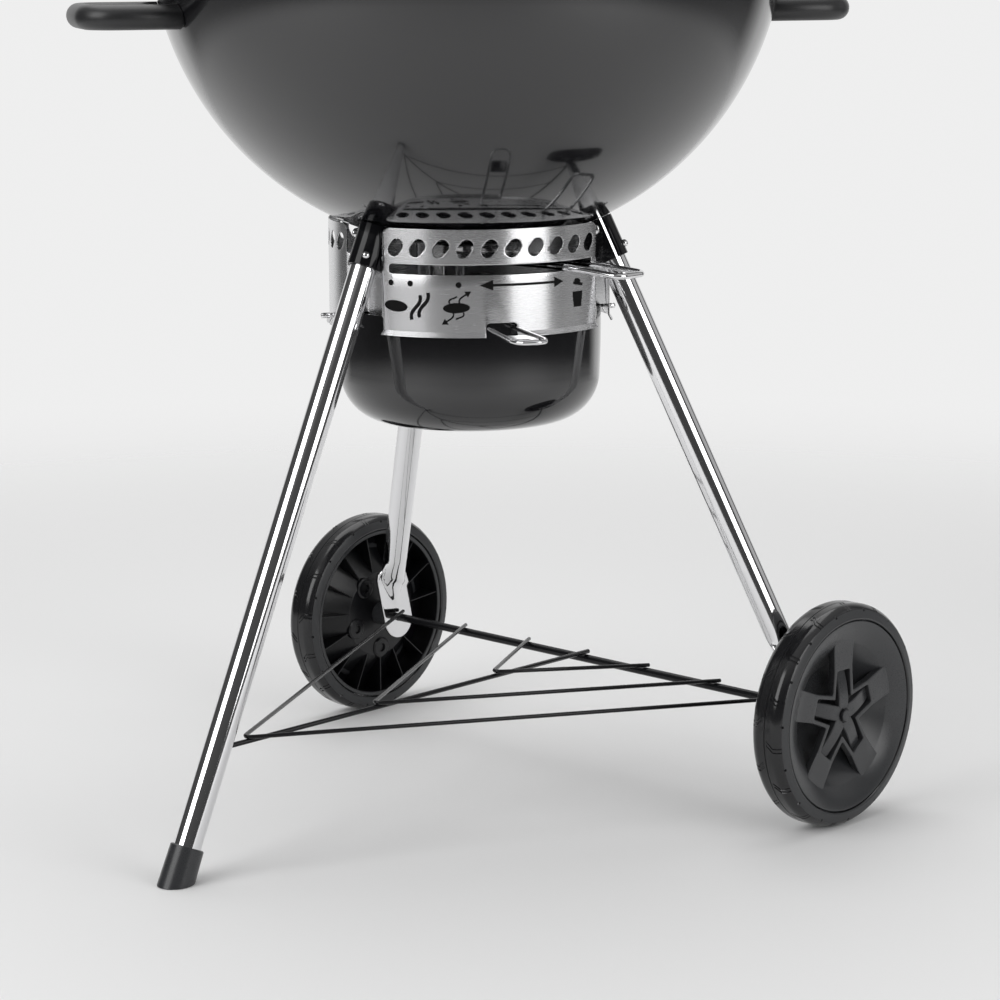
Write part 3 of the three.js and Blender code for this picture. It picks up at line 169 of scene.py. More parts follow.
def lathe(profile, sides):
    """A closed profile of (radius, height) turned about Z. A point on the axis becomes a pole."""
    verts, rows = [], []
    for radius, height in profile:
        pole = radius < 1e-7
        rows.append([len(verts) + (0 if pole else i) for i in range(sides)])
        verts += [around(radius, 360 * i / sides, height) for i in range(1 if pole else sides)]
    faces = []
    for here, after in zip(rows, rows[1:] + rows[:1]):
        for i in range(sides):
            j = (i + 1) % sides
            face = list(dict.fromkeys([here[i], here[j], after[j], after[i]]))
            if len(face) > 2:
                faces.append(face)
    return mesh_from(verts, faces)


def skin(loops):
    """A skin through matching loops of points, capped at both ends."""
    count = len(loops[0])
    faces = []
    for k in range(0, (len(loops) - 1) * count, count):
        for i in range(count):
            j = (i + 1) % count
            faces.append([k + i, k + j, k + count + j, k + count + i])
    faces.append(list(range(count))[::-1])
    faces.append([(len(loops) - 1) * count + i for i in range(count)])
    return mesh_from([point for loop in loops for point in loop], faces)


def sweep(points, radius, sides=16, blunt=0.3):
    """A round wire along points, with eased ends."""
    points = [Vector(p) for p in points]
    runs = [(after - here).normalized() for here, after in zip(points, points[1:])]
    tangents = [(into + out).normalized() for into, out in zip(runs[:1] + runs, runs + runs[-1:])]
    side = tangents[0].cross(Vector((1, 0, 0)) if abs(tangents[0].z) > 0.9 else UP).normalized()
    loops = []
    for i, (point, tangent) in enumerate(zip(points, tangents)):
        side = (side - tangent * side.dot(tangent)).normalized()
        other = tangent.cross(side)
        turns = [2 * pi * (k + 0.5) / sides for k in range(sides)]
        ring = [side * cos(turn) + other * sin(turn) for turn in turns]
        first, last = i == 0, i == len(points) - 1
        centre = point + tangent * (radius * blunt * (first - last))
        tip = [[point + r * radius * (1 - blunt) for r in ring]]
        loops += tip * first + [[centre + r * radius for r in ring]] + tip * last
    return skin(loops)


def rod(start, end, radius, sides=32, ease=0.0006):
    """A straight round bar with eased edges."""
    start, direction = Vector(start), Vector(end) - Vector(start)
    length = direction.length
    profile = [(0, 0), (radius - ease, 0), (radius, ease), (radius, length - ease), (radius - ease, length),
        (0, length)]
    hint = Vector((1, 0, 0)) if abs(direction.normalized().z) > 0.9 else UP
    return moved(lathe(profile, sides), axes_at(start, direction, hint))


def rounded(corners, radius, count=8):
    """Corner points with each inner corner rounded to an arc."""
    points = [Vector(corners[0])]
    for before, here, after in zip(corners, corners[1:], corners[2:]):
        here = Vector(here)
        to_before, to_after = Vector(before) - here, Vector(after) - here
        bend = pi - to_before.angle(to_after)
        trim = min(radius * tan(bend / 2), 0.49 * min(to_before.length, to_after.length))
        start, end = here + to_before.normalized() * trim, here + to_after.normalized() * trim
        handle = 0.5523 * trim * (1 if bend > 0.6 else 0.8)
        one, two = start - to_before.normalized() * handle, end - to_after.normalized() * handle
        points += geometry.interpolate_bezier(start, one, two, end, count)
    points.append(Vector(corners[-1]))
    return points


def rounded_loop(corners, radii, count=6):
    """A closed flat outline whose corners are rounded, by one radius or each by its own."""
    points = []
    for i, corner in enumerate(corners):
        radius = radii[i] if isinstance(radii, list) else radii
        if radius > 0:
            points += rounded([corners[i - 1], corner, corners[(i + 1) % len(corners)]], radius, count)[1:-1]
        else:
            points.append(Vector(corner))
    return points


def plate(loops, low, high, ease=0.0003, rounds=1):
    """A flat plate between two heights. Loops inside the first are holes, and every edge is eased."""
    curve = bpy.data.curves.new("plate", "CURVE")
    curve.dimensions = "2D"
    curve.fill_mode = "BOTH"
    for loop in loops:
        spline = curve.splines.new("POLY")
        spline.points.add(len(loop) - 1)
        for target, point in zip(spline.points, loop):
            target.co = (point[0], point[1], 0, 1)
        spline.use_cyclic_u = True
    curve.extrude = (high - low) / 2 - ease
    curve.bevel_depth = ease
    curve.bevel_resolution = rounds
    curve.offset = -ease
    mesh = tidied(evaluated(curve), weld=True)
    mesh.materials.clear()
    mesh.transform(Matrix.Translation((0, 0, (low + high) / 2)))
    return mesh


def evaluated(data, tools=()):
    """The mesh of a curve or mesh, with every tool cut away."""
    base = placed("base", data)
    extra = [placed("tool", tool) for tool in tools]
    for tool in extra:
        step = base.modifiers.new("step", "BOOLEAN")
        step.solver = "EXACT"
        step.operation = "DIFFERENCE"
        step.object = tool
    bpy.context.view_layer.update()
    mesh = bpy.data.meshes.new_from_object(base.evaluated_get(bpy.context.evaluated_depsgraph_get()))
    for made in extra + [base]:
        bpy.data.objects.remove(made)
    return mesh


def piece(name, mesh, material, stands_for, sharp=0, body="stand"):
    """Places a mesh made about the kettle's axis, gives it its material and ties it to the frame."""
    mesh.transform(Matrix.Translation(AXIS))
    mesh.materials.clear()
    mesh.materials.append(material)
    if sharp:
        mesh.shade_smooth()
        mesh.set_sharp_from_angle(angle=radians(sharp))
    made = placed(name, mesh)
    if stands_for:
        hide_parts(*stands_for)
    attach(made, body)


# ---- materials


def feed(tree, target, inputs):
    """Sets a node's inputs. A value that is another node's output is linked."""
    for key, value in inputs.items():
        if isinstance(value, bpy.types.NodeSocket):
            tree.links.new(value, target.inputs[key])
        else:
            target.inputs[key].default_value = value


def node(tree, kind, inputs, out=0, **settings):
    """Adds a shader node and returns one of its outputs."""
    made = tree.nodes.new("ShaderNode" + kind)
    for key, value in settings.items():
        setattr(made, key, value)
    feed(tree, made, inputs)
    return made.outputs[out]


def fade(tree, value, start, end):
    """A smooth rise from 0 to 1 between two values."""
    return node(tree, "MapRange", {"Value": value, "From Min": start, "From Max": end},
        interpolation_type="SMOOTHSTEP")


def new_material(name):
    material = bpy.data.materials.new(name)
    material.use_nodes = True
    return material, material.node_tree, material.node_tree.nodes["Principled BSDF"]


def surface(name, colour, metallic, roughness, spread, grain, relief, mottle=0.06, coat=0.0, streak=(1, 1, 1),
        anisotropic=0.0, specular=0.5):
    """A procedural finish: slow shade changes, uneven gloss, and fine relief of a given scale."""
    material, tree, shader = new_material(name)
    place = node(tree, "TexCoord", {}, "Object")
    stretched = node(tree, "Mapping", {"Vector": place, "Scale": streak})
    slow = node(tree, "TexNoise", {"Vector": place, "Scale": 9, "Detail": 4})
    fine = node(tree, "TexNoise", {"Vector": stretched, "Scale": grain, "Detail": 3})
    half = node(tree, "Math", {0: slow, 1: 0.5}, operation="MULTIPLY")
    both = node(tree, "Math", {0: fine, 1: 0.5, 2: half}, operation="MULTIPLY_ADD")
    dark, light = ([min(1, c * (1 + change)) for c in colour] + [1] for change in (-mottle, mottle))
    if anisotropic:
        brushing = node(tree, "Tangent", {}, direction_type="RADIAL", axis="Z")
        feed(tree, shader, {"Tangent": brushing, "Anisotropic Rotation": 0.25})
    feed(tree, shader, {
        "Metallic": metallic, "Coat Weight": coat, "Coat Roughness": 0.04, "Anisotropic": anisotropic,
        "Specular IOR Level": specular,
        "Base Color": node(tree, "Mix", {"Factor": both, "A": dark, "B": light}, "Result", data_type="RGBA"),
        "Roughness": node(tree, "MapRange", {
            "Value": both, "To Min": max(0.01, roughness - spread), "To Max": roughness + spread}),
        "Normal": node(tree, "Bump", {"Strength": relief, "Distance": 0.0004, "Height": fine}),
    })
    return material


ENAMEL = surface("black_enamel", (0.006, 0.006, 0.007), 0, 0.1, 0.03, 140, 0.012, 0.15, coat=0.6, specular=0.6)
CLAMP = surface("clamp_black", (0.005, 0.005, 0.006), 0, 0.1, 0.03, 300, 0.03, 0.15, specular=0.3)
CHROME = surface("plated_steel", (0.82, 0.82, 0.83), 1, 0.07, 0.03, 300, 0.006, 0.02)
STEEL = surface("brushed_stainless", (0.72, 0.72, 0.73), 1, 0.27, 0.03, 60, 0.012, 0.02, streak=(1, 1, 45),
    anisotropic=0.75)
GRATE = surface("plated_wire", (0.68, 0.68, 0.69), 1, 0.22, 0.06, 500, 0.03)
ALUMINIUM = surface("satin_aluminium", (0.72, 0.72, 0.73), 1, 0.33, 0.05, 700, 0.04)
PLASTIC = surface("moulded_plastic", (0.028, 0.029, 0.031), 0, 0.28, 0.06, 1600, 0.1, 0.08)
# Painted shade: a darker copy of the moulded plastic, for the hub's studs, ribs and lining that lie in shade.
PAINTED_SHADE_PLASTIC = surface("moulded_plastic_painted_shade", (0.005, 0.005, 0.006), 0, 0.3, 0.06, 1600, 0.1, 0.1, specular=0.4)
TYRE = surface("tyre_plastic", (0.01, 0.01, 0.011), 0, 0.16, 0.03, 900, 0.06, 0.1)
GRIP = surface("grip_plastic", (0.018, 0.018, 0.019), 0, 0.36, 0.05, 1200, 0.12, 0.08)
WIRE = surface("black_wire", (0.007, 0.007, 0.008), 0.1, 0.24, 0.07, 700, 0.08, 0.15, specular=0.3)
INK = surface("black_marking", (0.004, 0.004, 0.004), 0, 0.5, 0.05, 900, 0.05, specular=0.12)

# ---- camera

LENS_FACTOR = 2.965391  # focal length in image widths
camera_data = bpy.data.cameras.new("camera")
camera_data.sensor_width = 36
camera_data.lens = LENS_FACTOR * 36
camera_data.shift_y = -0.005
camera_data.clip_start, camera_data.clip_end = 0.05, 60
camera = placed("camera", camera_data)
look = Vector((0.2754, 0.942654, -0.188567))
camera_up = Vector((0.057525, 0.179641, 0.982049))
right = look.cross(camera_up).normalized()
turn = Matrix((right, right.cross(look), -look)).transposed().to_4x4()
camera.matrix_world = Matrix.Translation(AXIS + Vector((-0.736021, -2.616028, 0.811041))) @ turn
bpy.context.scene.camera = camera

# ---- bowl, lid and grips

BOWL_SHEET = 0.0018
BEAD = 0.0035
BOWL_ARC = acos(1 - BOWL_DEPTH / BOWL_RADIUS)
RIM_RADIUS = BOWL_RADIUS * sin(BOWL_ARC)
RIM_HEIGHT = BOWL_BOTTOM + BOWL_DEPTH
BEAD_TOP = RIM_HEIGHT + BEAD
VENT_INNER, VENT_OUTER, VENT_SPREAD, VENT_CORNER = 0.042, 0.092, 28, 0.006
STUD_HOLE = 0.0066
GRIP_RADIUS = 0.011
HANDLE_HALF = 0.059 - GRIP_RADIUS
SIDES = 144  # of the large turned shapes
GAP = 0.0003  # the clearance between pieces that touch
LEVER_TURN = 32.6


def bowl_arc(inset, count=56):
    return arc(0, SPHERE_HEIGHT, BOWL_RADIUS - inset, -90, degrees(BOWL_ARC) - 90, count)


def vent_outline(bearing):
    """The outline of one of the bowl's vents, a sector with rounded corners."""
    start, end = bearing - VENT_SPREAD / 2, bearing + VENT_SPREAD / 2
    outside = [around(VENT_OUTER, turn) for turn in steps(start, end, 10)]
    inside = [around(VENT_INNER, turn) for turn in steps(end, start, 6)]
    radii = [VENT_CORNER] + [0] * 9 + [VENT_CORNER] * 2 + [0] * 5 + [VENT_CORNER]
    return rounded_loop(outside + inside, radii, 4)


def build_bowl():
    bead = arc(RIM_RADIUS, RIM_HEIGHT, BEAD, -100, 165, 14)
    shell = lathe(bowl_arc(0)[:-1] + bead + bowl_arc(BOWL_SHEET)[-2::-1], SIDES)
    tools = [plate([vent_outline(LEVER_TURN + turn)], BOWL_BOTTOM - 0.02, BOWL_BOTTOM + 0.04, 0.0001, 0)
        for turn in (60, 180, 300)]
    tools.append(rod((0, 0, BOWL_BOTTOM - 0.01), (0, 0, BOWL_BOTTOM + 0.01), STUD_HOLE))
    piece("bowl_shell", evaluated(shell, tools), ENAMEL, ["bowl"], 40)


def cut_by_bowl(mesh):
    return evaluated(mesh, [lathe(bowl_arc(-GAP, 48) + [(0, RIM_HEIGHT)], SIDES)])


def build_side_handles():
    height, reach = 0.735, 0.36 - GRIP_RADIUS
    root = sqrt(BOWL_RADIUS**2 - (SPHERE_HEIGHT - height) ** 2) - 0.008
    corners = [(-HANDLE_HALF, root, 0), (-HANDLE_HALF, reach, 0), (HANDLE_HALF, reach, 0), (HANDLE_HALF, root, 0)]
    for name, bearing in (("handle_left", -90), ("handle_right", 90)):
        path = [around(p.y, bearing, height) + around(p.x, bearing + 90) for p in rounded(corners, 0.026)]
        piece(name + "_grip", cut_by_bowl(sweep(path, GRIP_RADIUS, 28)), GRIP, [name], 50)


SHOULDER = RIM_RADIUS + 0.0028
LID_BASE = BEAD_TOP + GAP
DOME_FOOT = LID_BASE + 0.004
LID_RISE = 0.242
LID_TOP = 1.068  # with its handle
DOME_RADIUS = (SHOULDER**2 + LID_RISE**2) / (2 * LID_RISE)
DOME_HEIGHT = DOME_FOOT + LID_RISE - DOME_RADIUS
DOME_ARC = asin(SHOULDER / DOME_RADIUS)
LID_SHEET = 0.0018
DAMPER_PLACE = 38  # its bearing, and its angle down from the lid's top
DAMPER_RADIUS = 0.042
DAMPER_SHEET = 0.0016
DAMPER_BORE = 0.0033
DAMPER_LEAN = radians(DAMPER_PLACE)
DAMPER_FRAME = axes_at(Vector((0, 0, DOME_HEIGHT)), around(sin(DAMPER_LEAN), DAMPER_PLACE, cos(DAMPER_LEAN)))


def dome_arc(inset):
    return arc(0, DOME_HEIGHT, DOME_RADIUS - inset, 90 - degrees(DOME_ARC), 90, 44)


def damper_tools(low, high):
    places = [around(0.025, turn) for turn in (90, 210, 330)]
    return [moved(rod((p.x, p.y, low), (p.x, p.y, high), 0.009, ease=0.0001), DAMPER_FRAME) for p in places]


def build_lid():
    skirt_in = RIM_RADIUS + BEAD + 0.0016
    skirt_out = skirt_in + LID_SHEET
    foot = BEAD_TOP - 0.011
    profile = [(skirt_in, foot), (skirt_in + 0.0009, foot), (skirt_out, foot + 0.0006),
        (skirt_out, DOME_FOOT - 0.003), (skirt_out - 0.0008, DOME_FOOT - 0.0012)]
    profile += dome_arc(0) + dome_arc(LID_SHEET)[-2:0:-1]
    profile += [(SHOULDER - LID_SHEET - 0.001, LID_BASE), (skirt_in, LID_BASE)]
    low, high = DOME_RADIUS - 0.02, DOME_RADIUS + 0.02
    tools = [moved(rod((0, 0, low), (0, 0, high), DAMPER_BORE, 24), DAMPER_FRAME)] + damper_tools(low, high)
    piece("lid_shell", evaluated(lathe(profile, SIDES), tools), ENAMEL, ["lid"], 40, "lid")


def build_lid_handle():
    top = LID_TOP - GRIP_RADIUS
    root = DOME_HEIGHT + sqrt(DOME_RADIUS**2 - HANDLE_HALF**2) - 0.006
    corners = [(-HANDLE_HALF, 0, root), (-HANDLE_HALF, 0, top), (HANDLE_HALF, 0, top), (HANDLE_HALF, 0, root)]
    bar = sweep(rounded(corners, 0.024), GRIP_RADIUS, 28)
    dome = lathe(dome_arc(-GAP) + [(0, DOME_FOOT)], SIDES)
    piece("lid_grip", evaluated(bar, [dome]), GRIP, ["lid_handle"], 50, "lid")


def build_damper():
    bottom = DOME_RADIUS + GAP
    top = bottom + DAMPER_SHEET
    edge, bore = (90 - degrees(asin(radius / bottom)) for radius in (DAMPER_RADIUS, DAMPER_BORE))
    disc = lathe(arc(0, 0, bottom, bore, edge, 10) + arc(0, 0, top, edge, bore, 10), 96)
    disc = evaluated(moved(disc, DAMPER_FRAME), damper_tools(bottom - 0.01, top + 0.01))
    low = bottom * sin(radians(edge)) + 0.0005
    tab = rounded_loop(flat((-0.008, 0.036), (0.008, 0.036), (0.008, 0.05), (-0.008, 0.05)), [0, 0, 0.003, 0.003])
    disc = merged([disc, moved(plate([tab], low, low + 0.009, 0.0005, 2), DAMPER_FRAME)])
    piece("damper_disc", disc, ALUMINIUM, ["lid_damper"], 40, "damper")
    head = top + GAP
    profile = [(0, DOME_RADIUS - 0.0038), (0.003, DOME_RADIUS - 0.0038), (0.003, head), (0.007, head)]
    profile += arc(0, head, 0.007, 18, 72, 3, 3 / 7) + [(0, head + 0.003)]
    rivet = moved(lathe(profile, 32), DAMPER_FRAME)
    piece("damper_rivet", rivet, CHROME, ["lid_damper_rivet"], 40, "lid")


# ---- legs

AXLE_HEIGHT = WHEEL_RADIUS
HUB_RIGHT = beside_leg(LEGS["right"], along_at_height(AXLE_HEIGHT))
HUB_REAR = beside_leg(LEGS["rear"], along_at_height(AXLE_HEIGHT))
AXLE_DIRECTION = (HUB_REAR - HUB_RIGHT).normalized()
AXLE_MIDDLE = (HUB_REAR + HUB_RIGHT) / 2
AXLE_HALF = (HUB_REAR - HUB_RIGHT).length / 2
AXLE_RADIUS = 0.004
WHEEL_OUT = 0.028  # from the leg's line to the wheel's middle
RACK_DIRECTION = -AXLE_DIRECTION.cross(UP)
LEG_SHEET = 0.0012
PADDLE_INSET = 0.013
PADDLE_HALF = 0.019
PADDLE_THICK = 0.004
PADDLE_TILT = -0.6


def pressed_section(centre, side, normal, half_width, half_thick, bulge_half, bulge, tilt=Vector(), count=64):
    """A flat plate's section with a round bulge in its middle, the same on both faces."""
    points = []
    for i in range(count):
        angle = 2 * pi * (i + 0.5) / count
        x = half_width * cos(angle)
        flank = half_thick * min(1.0, (half_width - abs(x)) / 0.0006) ** 0.5 if half_thick else 0.0
        crown = bulge * sqrt(max(0.0, 1 - (x / bulge_half) ** 2)) if bulge_half else 0.0
        points.append(centre + side * x + normal * copysign(max(flank, crown), sin(angle)) + tilt * x)
    return points


def build_front_leg():
    length = along_at_height(0.005) - LEG_RADIUS * tan(LEAN) - LEG_TOP
    inner = LEG_RADIUS - LEG_SHEET
    tube = lathe([(LEG_RADIUS, 0), (LEG_RADIUS, length), (inner, length), (inner, 0)], 64)
    place = axes_at(beside_leg(LEGS["front"], LEG_TOP), toward(LEGS["front"], 1))
    piece("leg_front_tube", moved(tube, place), CHROME, ["leg_front"], 40)


def build_wheel_leg(name, outboard, hub_end):
    """A tube that is pressed flat at its foot, where the axle passes through."""
    bearing = LEGS[name]
    down = toward(bearing, 1).normalized()
    shift = down.dot(outboard)
    plate_down = (down - outboard * shift).normalized()
    bend = along_at_height(AXLE_HEIGHT) - PADDLE_INSET / shift
    bend_point = beside_leg(bearing, bend)
    side = outboard.cross(plate_down).normalized()
    tube_side = (side - down * side.dot(down)).normalized()
    normal = down.cross(tube_side).normalized()
    if normal.dot(outboard) < 0:
        normal = -normal
    drop = (bend_point.z - AXLE_HEIGHT) / -plate_down.z
    tilt = plate_down * (PADDLE_TILT * side.dot(RACK_DIRECTION))
    round_half, thick = LEG_RADIUS + 0.0012, PADDLE_THICK / 2
    loops = [pressed_section(beside_leg(bearing, LEG_TOP), tube_side, normal, LEG_RADIUS, 0, LEG_RADIUS, LEG_RADIUS)]
    for share in steps(0, 1, 6):
        spot, across = beside_leg(bearing, bend - 0.04 + 0.028 * share), tube_side.lerp(side, share).normalized()
        width = LEG_RADIUS + (PADDLE_HALF - LEG_RADIUS) * share**2
        loops.append(pressed_section(spot, across, normal, width, thick * share, LEG_RADIUS + 0.0012 * share,
            LEG_RADIUS * (1 - 0.3 * share), tilt * share))
    for share in steps(0.05, 0.925, 7):
        spot, left = bend_point + plate_down * (-0.006 + 0.034 * share), 1 - share
        loops.append(pressed_section(spot, side, outboard, PADDLE_HALF, thick, round_half * left + 0.0004,
            LEG_RADIUS * 0.66 * left, tilt * left))
    for turn in steps(-2, 88, 15):
        half = polar(PADDLE_HALF, turn)
        spot = bend_point + plate_down * (drop + 0.022 - PADDLE_HALF + half.y)
        loops.append(pressed_section(spot, side, outboard, max(half.x, 0.0006), thick, 0, 0))
    centre = hub_end - outboard * PADDLE_INSET
    hole = rod(centre - outboard * 0.015, centre + outboard * 0.015, AXLE_RADIUS + GAP, ease=0.0001)
    piece(f"leg_{name}_tube", evaluated(skin(loops), [hole]), CHROME, [f"leg_{name}"], 50)


def build_foot_cap():
    bearing = LEGS["front"]
    top = along_at_height(0.03)
    length = along_at_height(0) + 0.016 - top
    profile = [(0.0126, 0), (0.014, 0), (0.015, 0.001), (0.016, length), (0, length), (0, 0.028), (0.0126, 0.028)]
    body = moved(lathe(profile, 64), axes_at(beside_leg(bearing, top), toward(bearing, 1)))
    foot = beside_leg(bearing, along_at_height(0))
    ground = plate([flat((-0.06, -0.06), (0.06, -0.06), (0.06, 0.06), (-0.06, 0.06))], -0.06, 0, 0.0001, 0)
    body = evaluated(body, [moved(ground, Matrix.Translation((foot.x, foot.y, 0)))])
    piece("foot_cap_moulding", body, PLASTIC, ["foot_cap"], 40)


# ---- clamps

CLAMP_LENGTH = 0.0385
CLAMP_WALL = 0.0026
CLAMP_FOOT = LEG_TOP + CLAMP_LENGTH
CLAMP_NEAR, CLAMP_FAR = -86, 46
RIVET_RADIUS, RIVET_RISE = 0.0034, 0.0028
RECESS_RADIUS = 0.11202


def build_clamp(name):
    bearing = LEGS[name]
    top, down, outward = beside_leg(bearing, LEG_TOP), toward(bearing, 1), toward(bearing, 0, 1)
    leg_axes = axes_at(top, down, outward)
    inner = LEG_RADIUS + GAP
    outer = inner + CLAMP_WALL
    outline = arc(0, 0, outer, CLAMP_NEAR, CLAMP_FAR, 32) + arc(0, 0, inner, CLAMP_FAR, CLAMP_NEAR, 32)
    shell = cut_by_bowl(moved(plate([outline], 0, CLAMP_LENGTH, 0.0004, 2), leg_axes))
    piece(f"clamp_{name}_shell", shell, CLAMP, [f"clamp_shell_{name}"], 30)

    wall = RECESS_RADIUS - 0.0042
    low, high = ((wall - along * sin(LEAN)) / cos(LEAN) for along in (CLAMP_FOOT, LEG_TOP))
    lip, half = LEG_RADIUS * 0.62, inner + 0.0016
    block = plate([flat((lip, 0), (lip, CLAMP_LENGTH), (low, CLAMP_LENGTH), (high, 0))], -half, half, 0.0005, 2)
    block = moved(block, axes_at(top, outward.cross(down), outward))
    bore = rod(beside_leg(bearing, LEG_TOP - 0.005), beside_leg(bearing, CLAMP_FOOT + 0.005), inner, 64)
    fan = [(0, 0)] + arc(0, 0, 0.06, CLAMP_NEAR - 12, CLAMP_FAR + 18, 6)
    wedge = moved(plate([fan], -0.001, CLAMP_LENGTH + 0.001, 0.0001, 0), leg_axes)
    block = evaluated(cut_by_bowl(evaluated(block, [bore, wedge])), [ring_core()])
    piece(f"clamp_{name}_saddle", block, CLAMP, [f"clamp_saddle_{name}"], 30)

    along = LEG_TOP + 0.007
    barrel = [(0, 0), (0.0046, 0), (0.005, 0.0004), (0.005, 0.0052), (0.0044, 0.0055), (0.0044, 0.006),
        (0.0049, 0.0063), (0.0047, 0.0074), (0.004, 0.0079), (0, 0.0081)]
    head = moved(lathe(barrel, 48), axes_at(beside_leg(bearing, along, 0, -outer - GAP), toward(bearing, 0, 0, -1)))
    start, end = (beside_leg(bearing, along, 0, reach) for reach in (-outer - 0.001, 0.046 - outer))
    shank = rod(start, end, 0.0025, 24)
    piece(f"clamp_{name}_bolt", merged([head, shank]), CHROME, [f"clamp_bolt_{name}"], 35)

    dome = [(0, 0), (RIVET_RADIUS, 0), (RIVET_RADIUS, 0.0009)]
    dome += arc(0, 0.0009, RIVET_RADIUS, 12, 84, 6, RIVET_RISE / RIVET_RADIUS) + [(0, 0.0037)]
    turn = polar(1, 42 if name == "front" else 0)
    face = beside_leg(bearing, LEG_TOP + 0.0295, (outer + GAP) * turn.x, (outer + GAP) * turn.y)
    rivet = moved(lathe(dome, 40), axes_at(face, toward(bearing, 0, turn.x, turn.y)))
    piece(f"clamp_{name}_rivet", rivet, CHROME, [f"clamp_rivet_{name}"], 40)


# ---- vent ring

RING_TURN = -3
RING_RADIUS = 0.129
RING_TOP = 0.5502
RING_CREASE = 0.4594
RING_FOOT = 0.455
RING_SHEET = 0.0012
RING_FLARE = 0.003
RECESS_SPREAD = 18.6
RECESS_FLOOR = 0.462
RETURN_FLOOR = 0.4705
RECESS_TOP = 0.524
PANELS = [RING_TURN - 120, RING_TURN, RING_TURN + 120]
PANEL_HALF = 60 - RECESS_SPREAD / 2
HOLE_HEIGHT, HOLE_PITCH, HOLE_TILT = 0.5333, 9.6, 50
# Cut-outs in the lower edge, for the bail and for the bucket's two pins: bearing, half width, top and corner.
NOTCHES = [(RING_TURN, 0.0143, 0.4676, 0.004)] + [(RING_TURN + turn, 0.0026, 0.4654, 0.0025) for turn in (-90, 90)]


def ring_line():
    """The ring's outer outline as dense points, from the seam behind the rear leg round to it again."""
    inner = RECESS_SPREAD / 2 - 2
    corners, radii = [around(RECESS_RADIUS, PANELS[0] - 60)], [0]
    for centre in PANELS:
        corners.append(around(RECESS_RADIUS, centre - 60 + inner))
        corners += [around(RING_RADIUS, turn) for turn in steps(centre - PANEL_HALF, centre + PANEL_HALF, 72)]
        corners.append(around(RECESS_RADIUS, centre + 60 - inner))
        radii += [0.004, 0.005] + [0] * 71 + [0.005, 0.004]
    corners.append(around(RECESS_RADIUS, PANELS[-1] + 60))
    points = corners[:1]
    for before, here, after, radius in zip(corners, corners[1:], corners[2:], radii[1:]):
        if radius:
            near, far = (here + (other - here).normalized() * 0.02 for other in (before, after))
            points += rounded([near, here, far], radius)[1:-1]
        else:
            points.append(here)
    clean = points[:1]
    for point in points[1:] + corners[-1:]:
        if (point - clean[-1]).length > 5e-5:
            clean.append(point)
    return clean


LINE = ring_line()
RUN = [0.0]
for before, after in zip(LINE, LINE[1:]):
    RUN.append(RUN[-1] + (after - before).length)
TANGENTS = [(after - before).normalized() for before, after in zip(LINE[:1] + LINE, LINE[1:] + LINE[-1:])]
TURNS = [degrees(atan2(point.x, -point.y)) for point in LINE]


def outward_of(tangent):
    return Vector((tangent.y, -tangent.x, 0))


def on_line(run):
    """The outline's point and direction at a length along it."""
    run = min(max(run, 0.0), RUN[-1])
    low = min(bisect.bisect_right(RUN, run), len(RUN) - 1) - 1
    share = (run - RUN[low]) / (RUN[low + 1] - RUN[low])
    return LINE[low].lerp(LINE[low + 1], share), TANGENTS[low].lerp(TANGENTS[low + 1], share).normalized()


def run_at(bearing):
    """The length along the outline at a bearing."""
    for k in range(len(LINE) - 1):
        if TURNS[k] <= bearing <= TURNS[k + 1]:
            return RUN[k] + (RUN[k + 1] - RUN[k]) * (bearing - TURNS[k]) / max(TURNS[k + 1] - TURNS[k], 1e-9)
    raise ValueError(f"no point of the ring at bearing {bearing}")


def flare(height):
    """How far the skirt stands out at a height, and its slope."""
    if height >= RING_CREASE:
        return 0.0, 0.0
    drop = RING_CREASE - RING_FOOT
    return RING_FLARE * min(1.0, (RING_CREASE - height) / drop), -RING_FLARE / drop


def wrapped(mesh, spacing=0.0025):
    """Bends a flat mesh of (length, height, outward) round the ring, and carries its normals over."""
    mesh.shade_smooth()
    mesh.set_sharp_from_angle(angle=radians(40))
    work = bmesh.new()
    work.from_mesh(mesh)
    low, high = min(v.co.x for v in work.verts), max(v.co.x for v in work.verts)
    for at in steps(low, high, max(1, int((high - low) / spacing)))[1:-1]:
        sliced(work, (at, 0, 0), (1, 0, 0))
    if min(v.co.y for v in work.verts) < RING_CREASE:
        sliced(work, (0, RING_CREASE, 0), (0, 1, 0))
    bmesh.ops.remove_doubles(work, verts=work.verts, dist=1e-7)
    work.to_mesh(mesh)
    work.free()
    mesh.update()
    normals = [n.vector.copy() for n in mesh.corner_normals]
    spots = [on_line(vertex.co.x) for vertex in mesh.vertices]
    for face in mesh.polygons:
        slope = flare(sum(mesh.vertices[v].co.y for v in face.vertices) / len(face.vertices))[1]
        for loop in face.loop_indices:
            tangent, normal = spots[mesh.loops[loop].vertex_index][1], normals[loop]
            bent = tangent * normal.x + UP * (normal.y - slope * normal.z) + outward_of(tangent) * normal.z
            normals[loop] = bent.normalized()
    for vertex, (point, tangent) in zip(mesh.vertices, spots):
        spot = point + outward_of(tangent) * (vertex.co.z + flare(vertex.co.y)[0])
        vertex.co = (spot.x, spot.y, vertex.co.y)
    mesh.update()
    mesh.normals_split_custom_set(normals)
    return mesh


def ring_core():
    """Everything inside the ring's outer face, with a little clearance."""
    outline = [point + outward_of(tangent) * GAP for point, tangent in zip(LINE, TANGENTS)]
    return plate([outline], 0.4, 0.6, 0.0001, 0)


def tilted(points, run, height, turn=0):
    """Flat points turned about the origin, then moved."""
    return [Vector((run, height, 0)) + spun(turn) @ point for point in flat(*points)]


def ellipse(run, height, half_length, half_height, turn=0, count=36):
    return tilted(arc(0, 0, half_length, 0, 360, count, half_height / half_length)[:-1], run, height, turn)


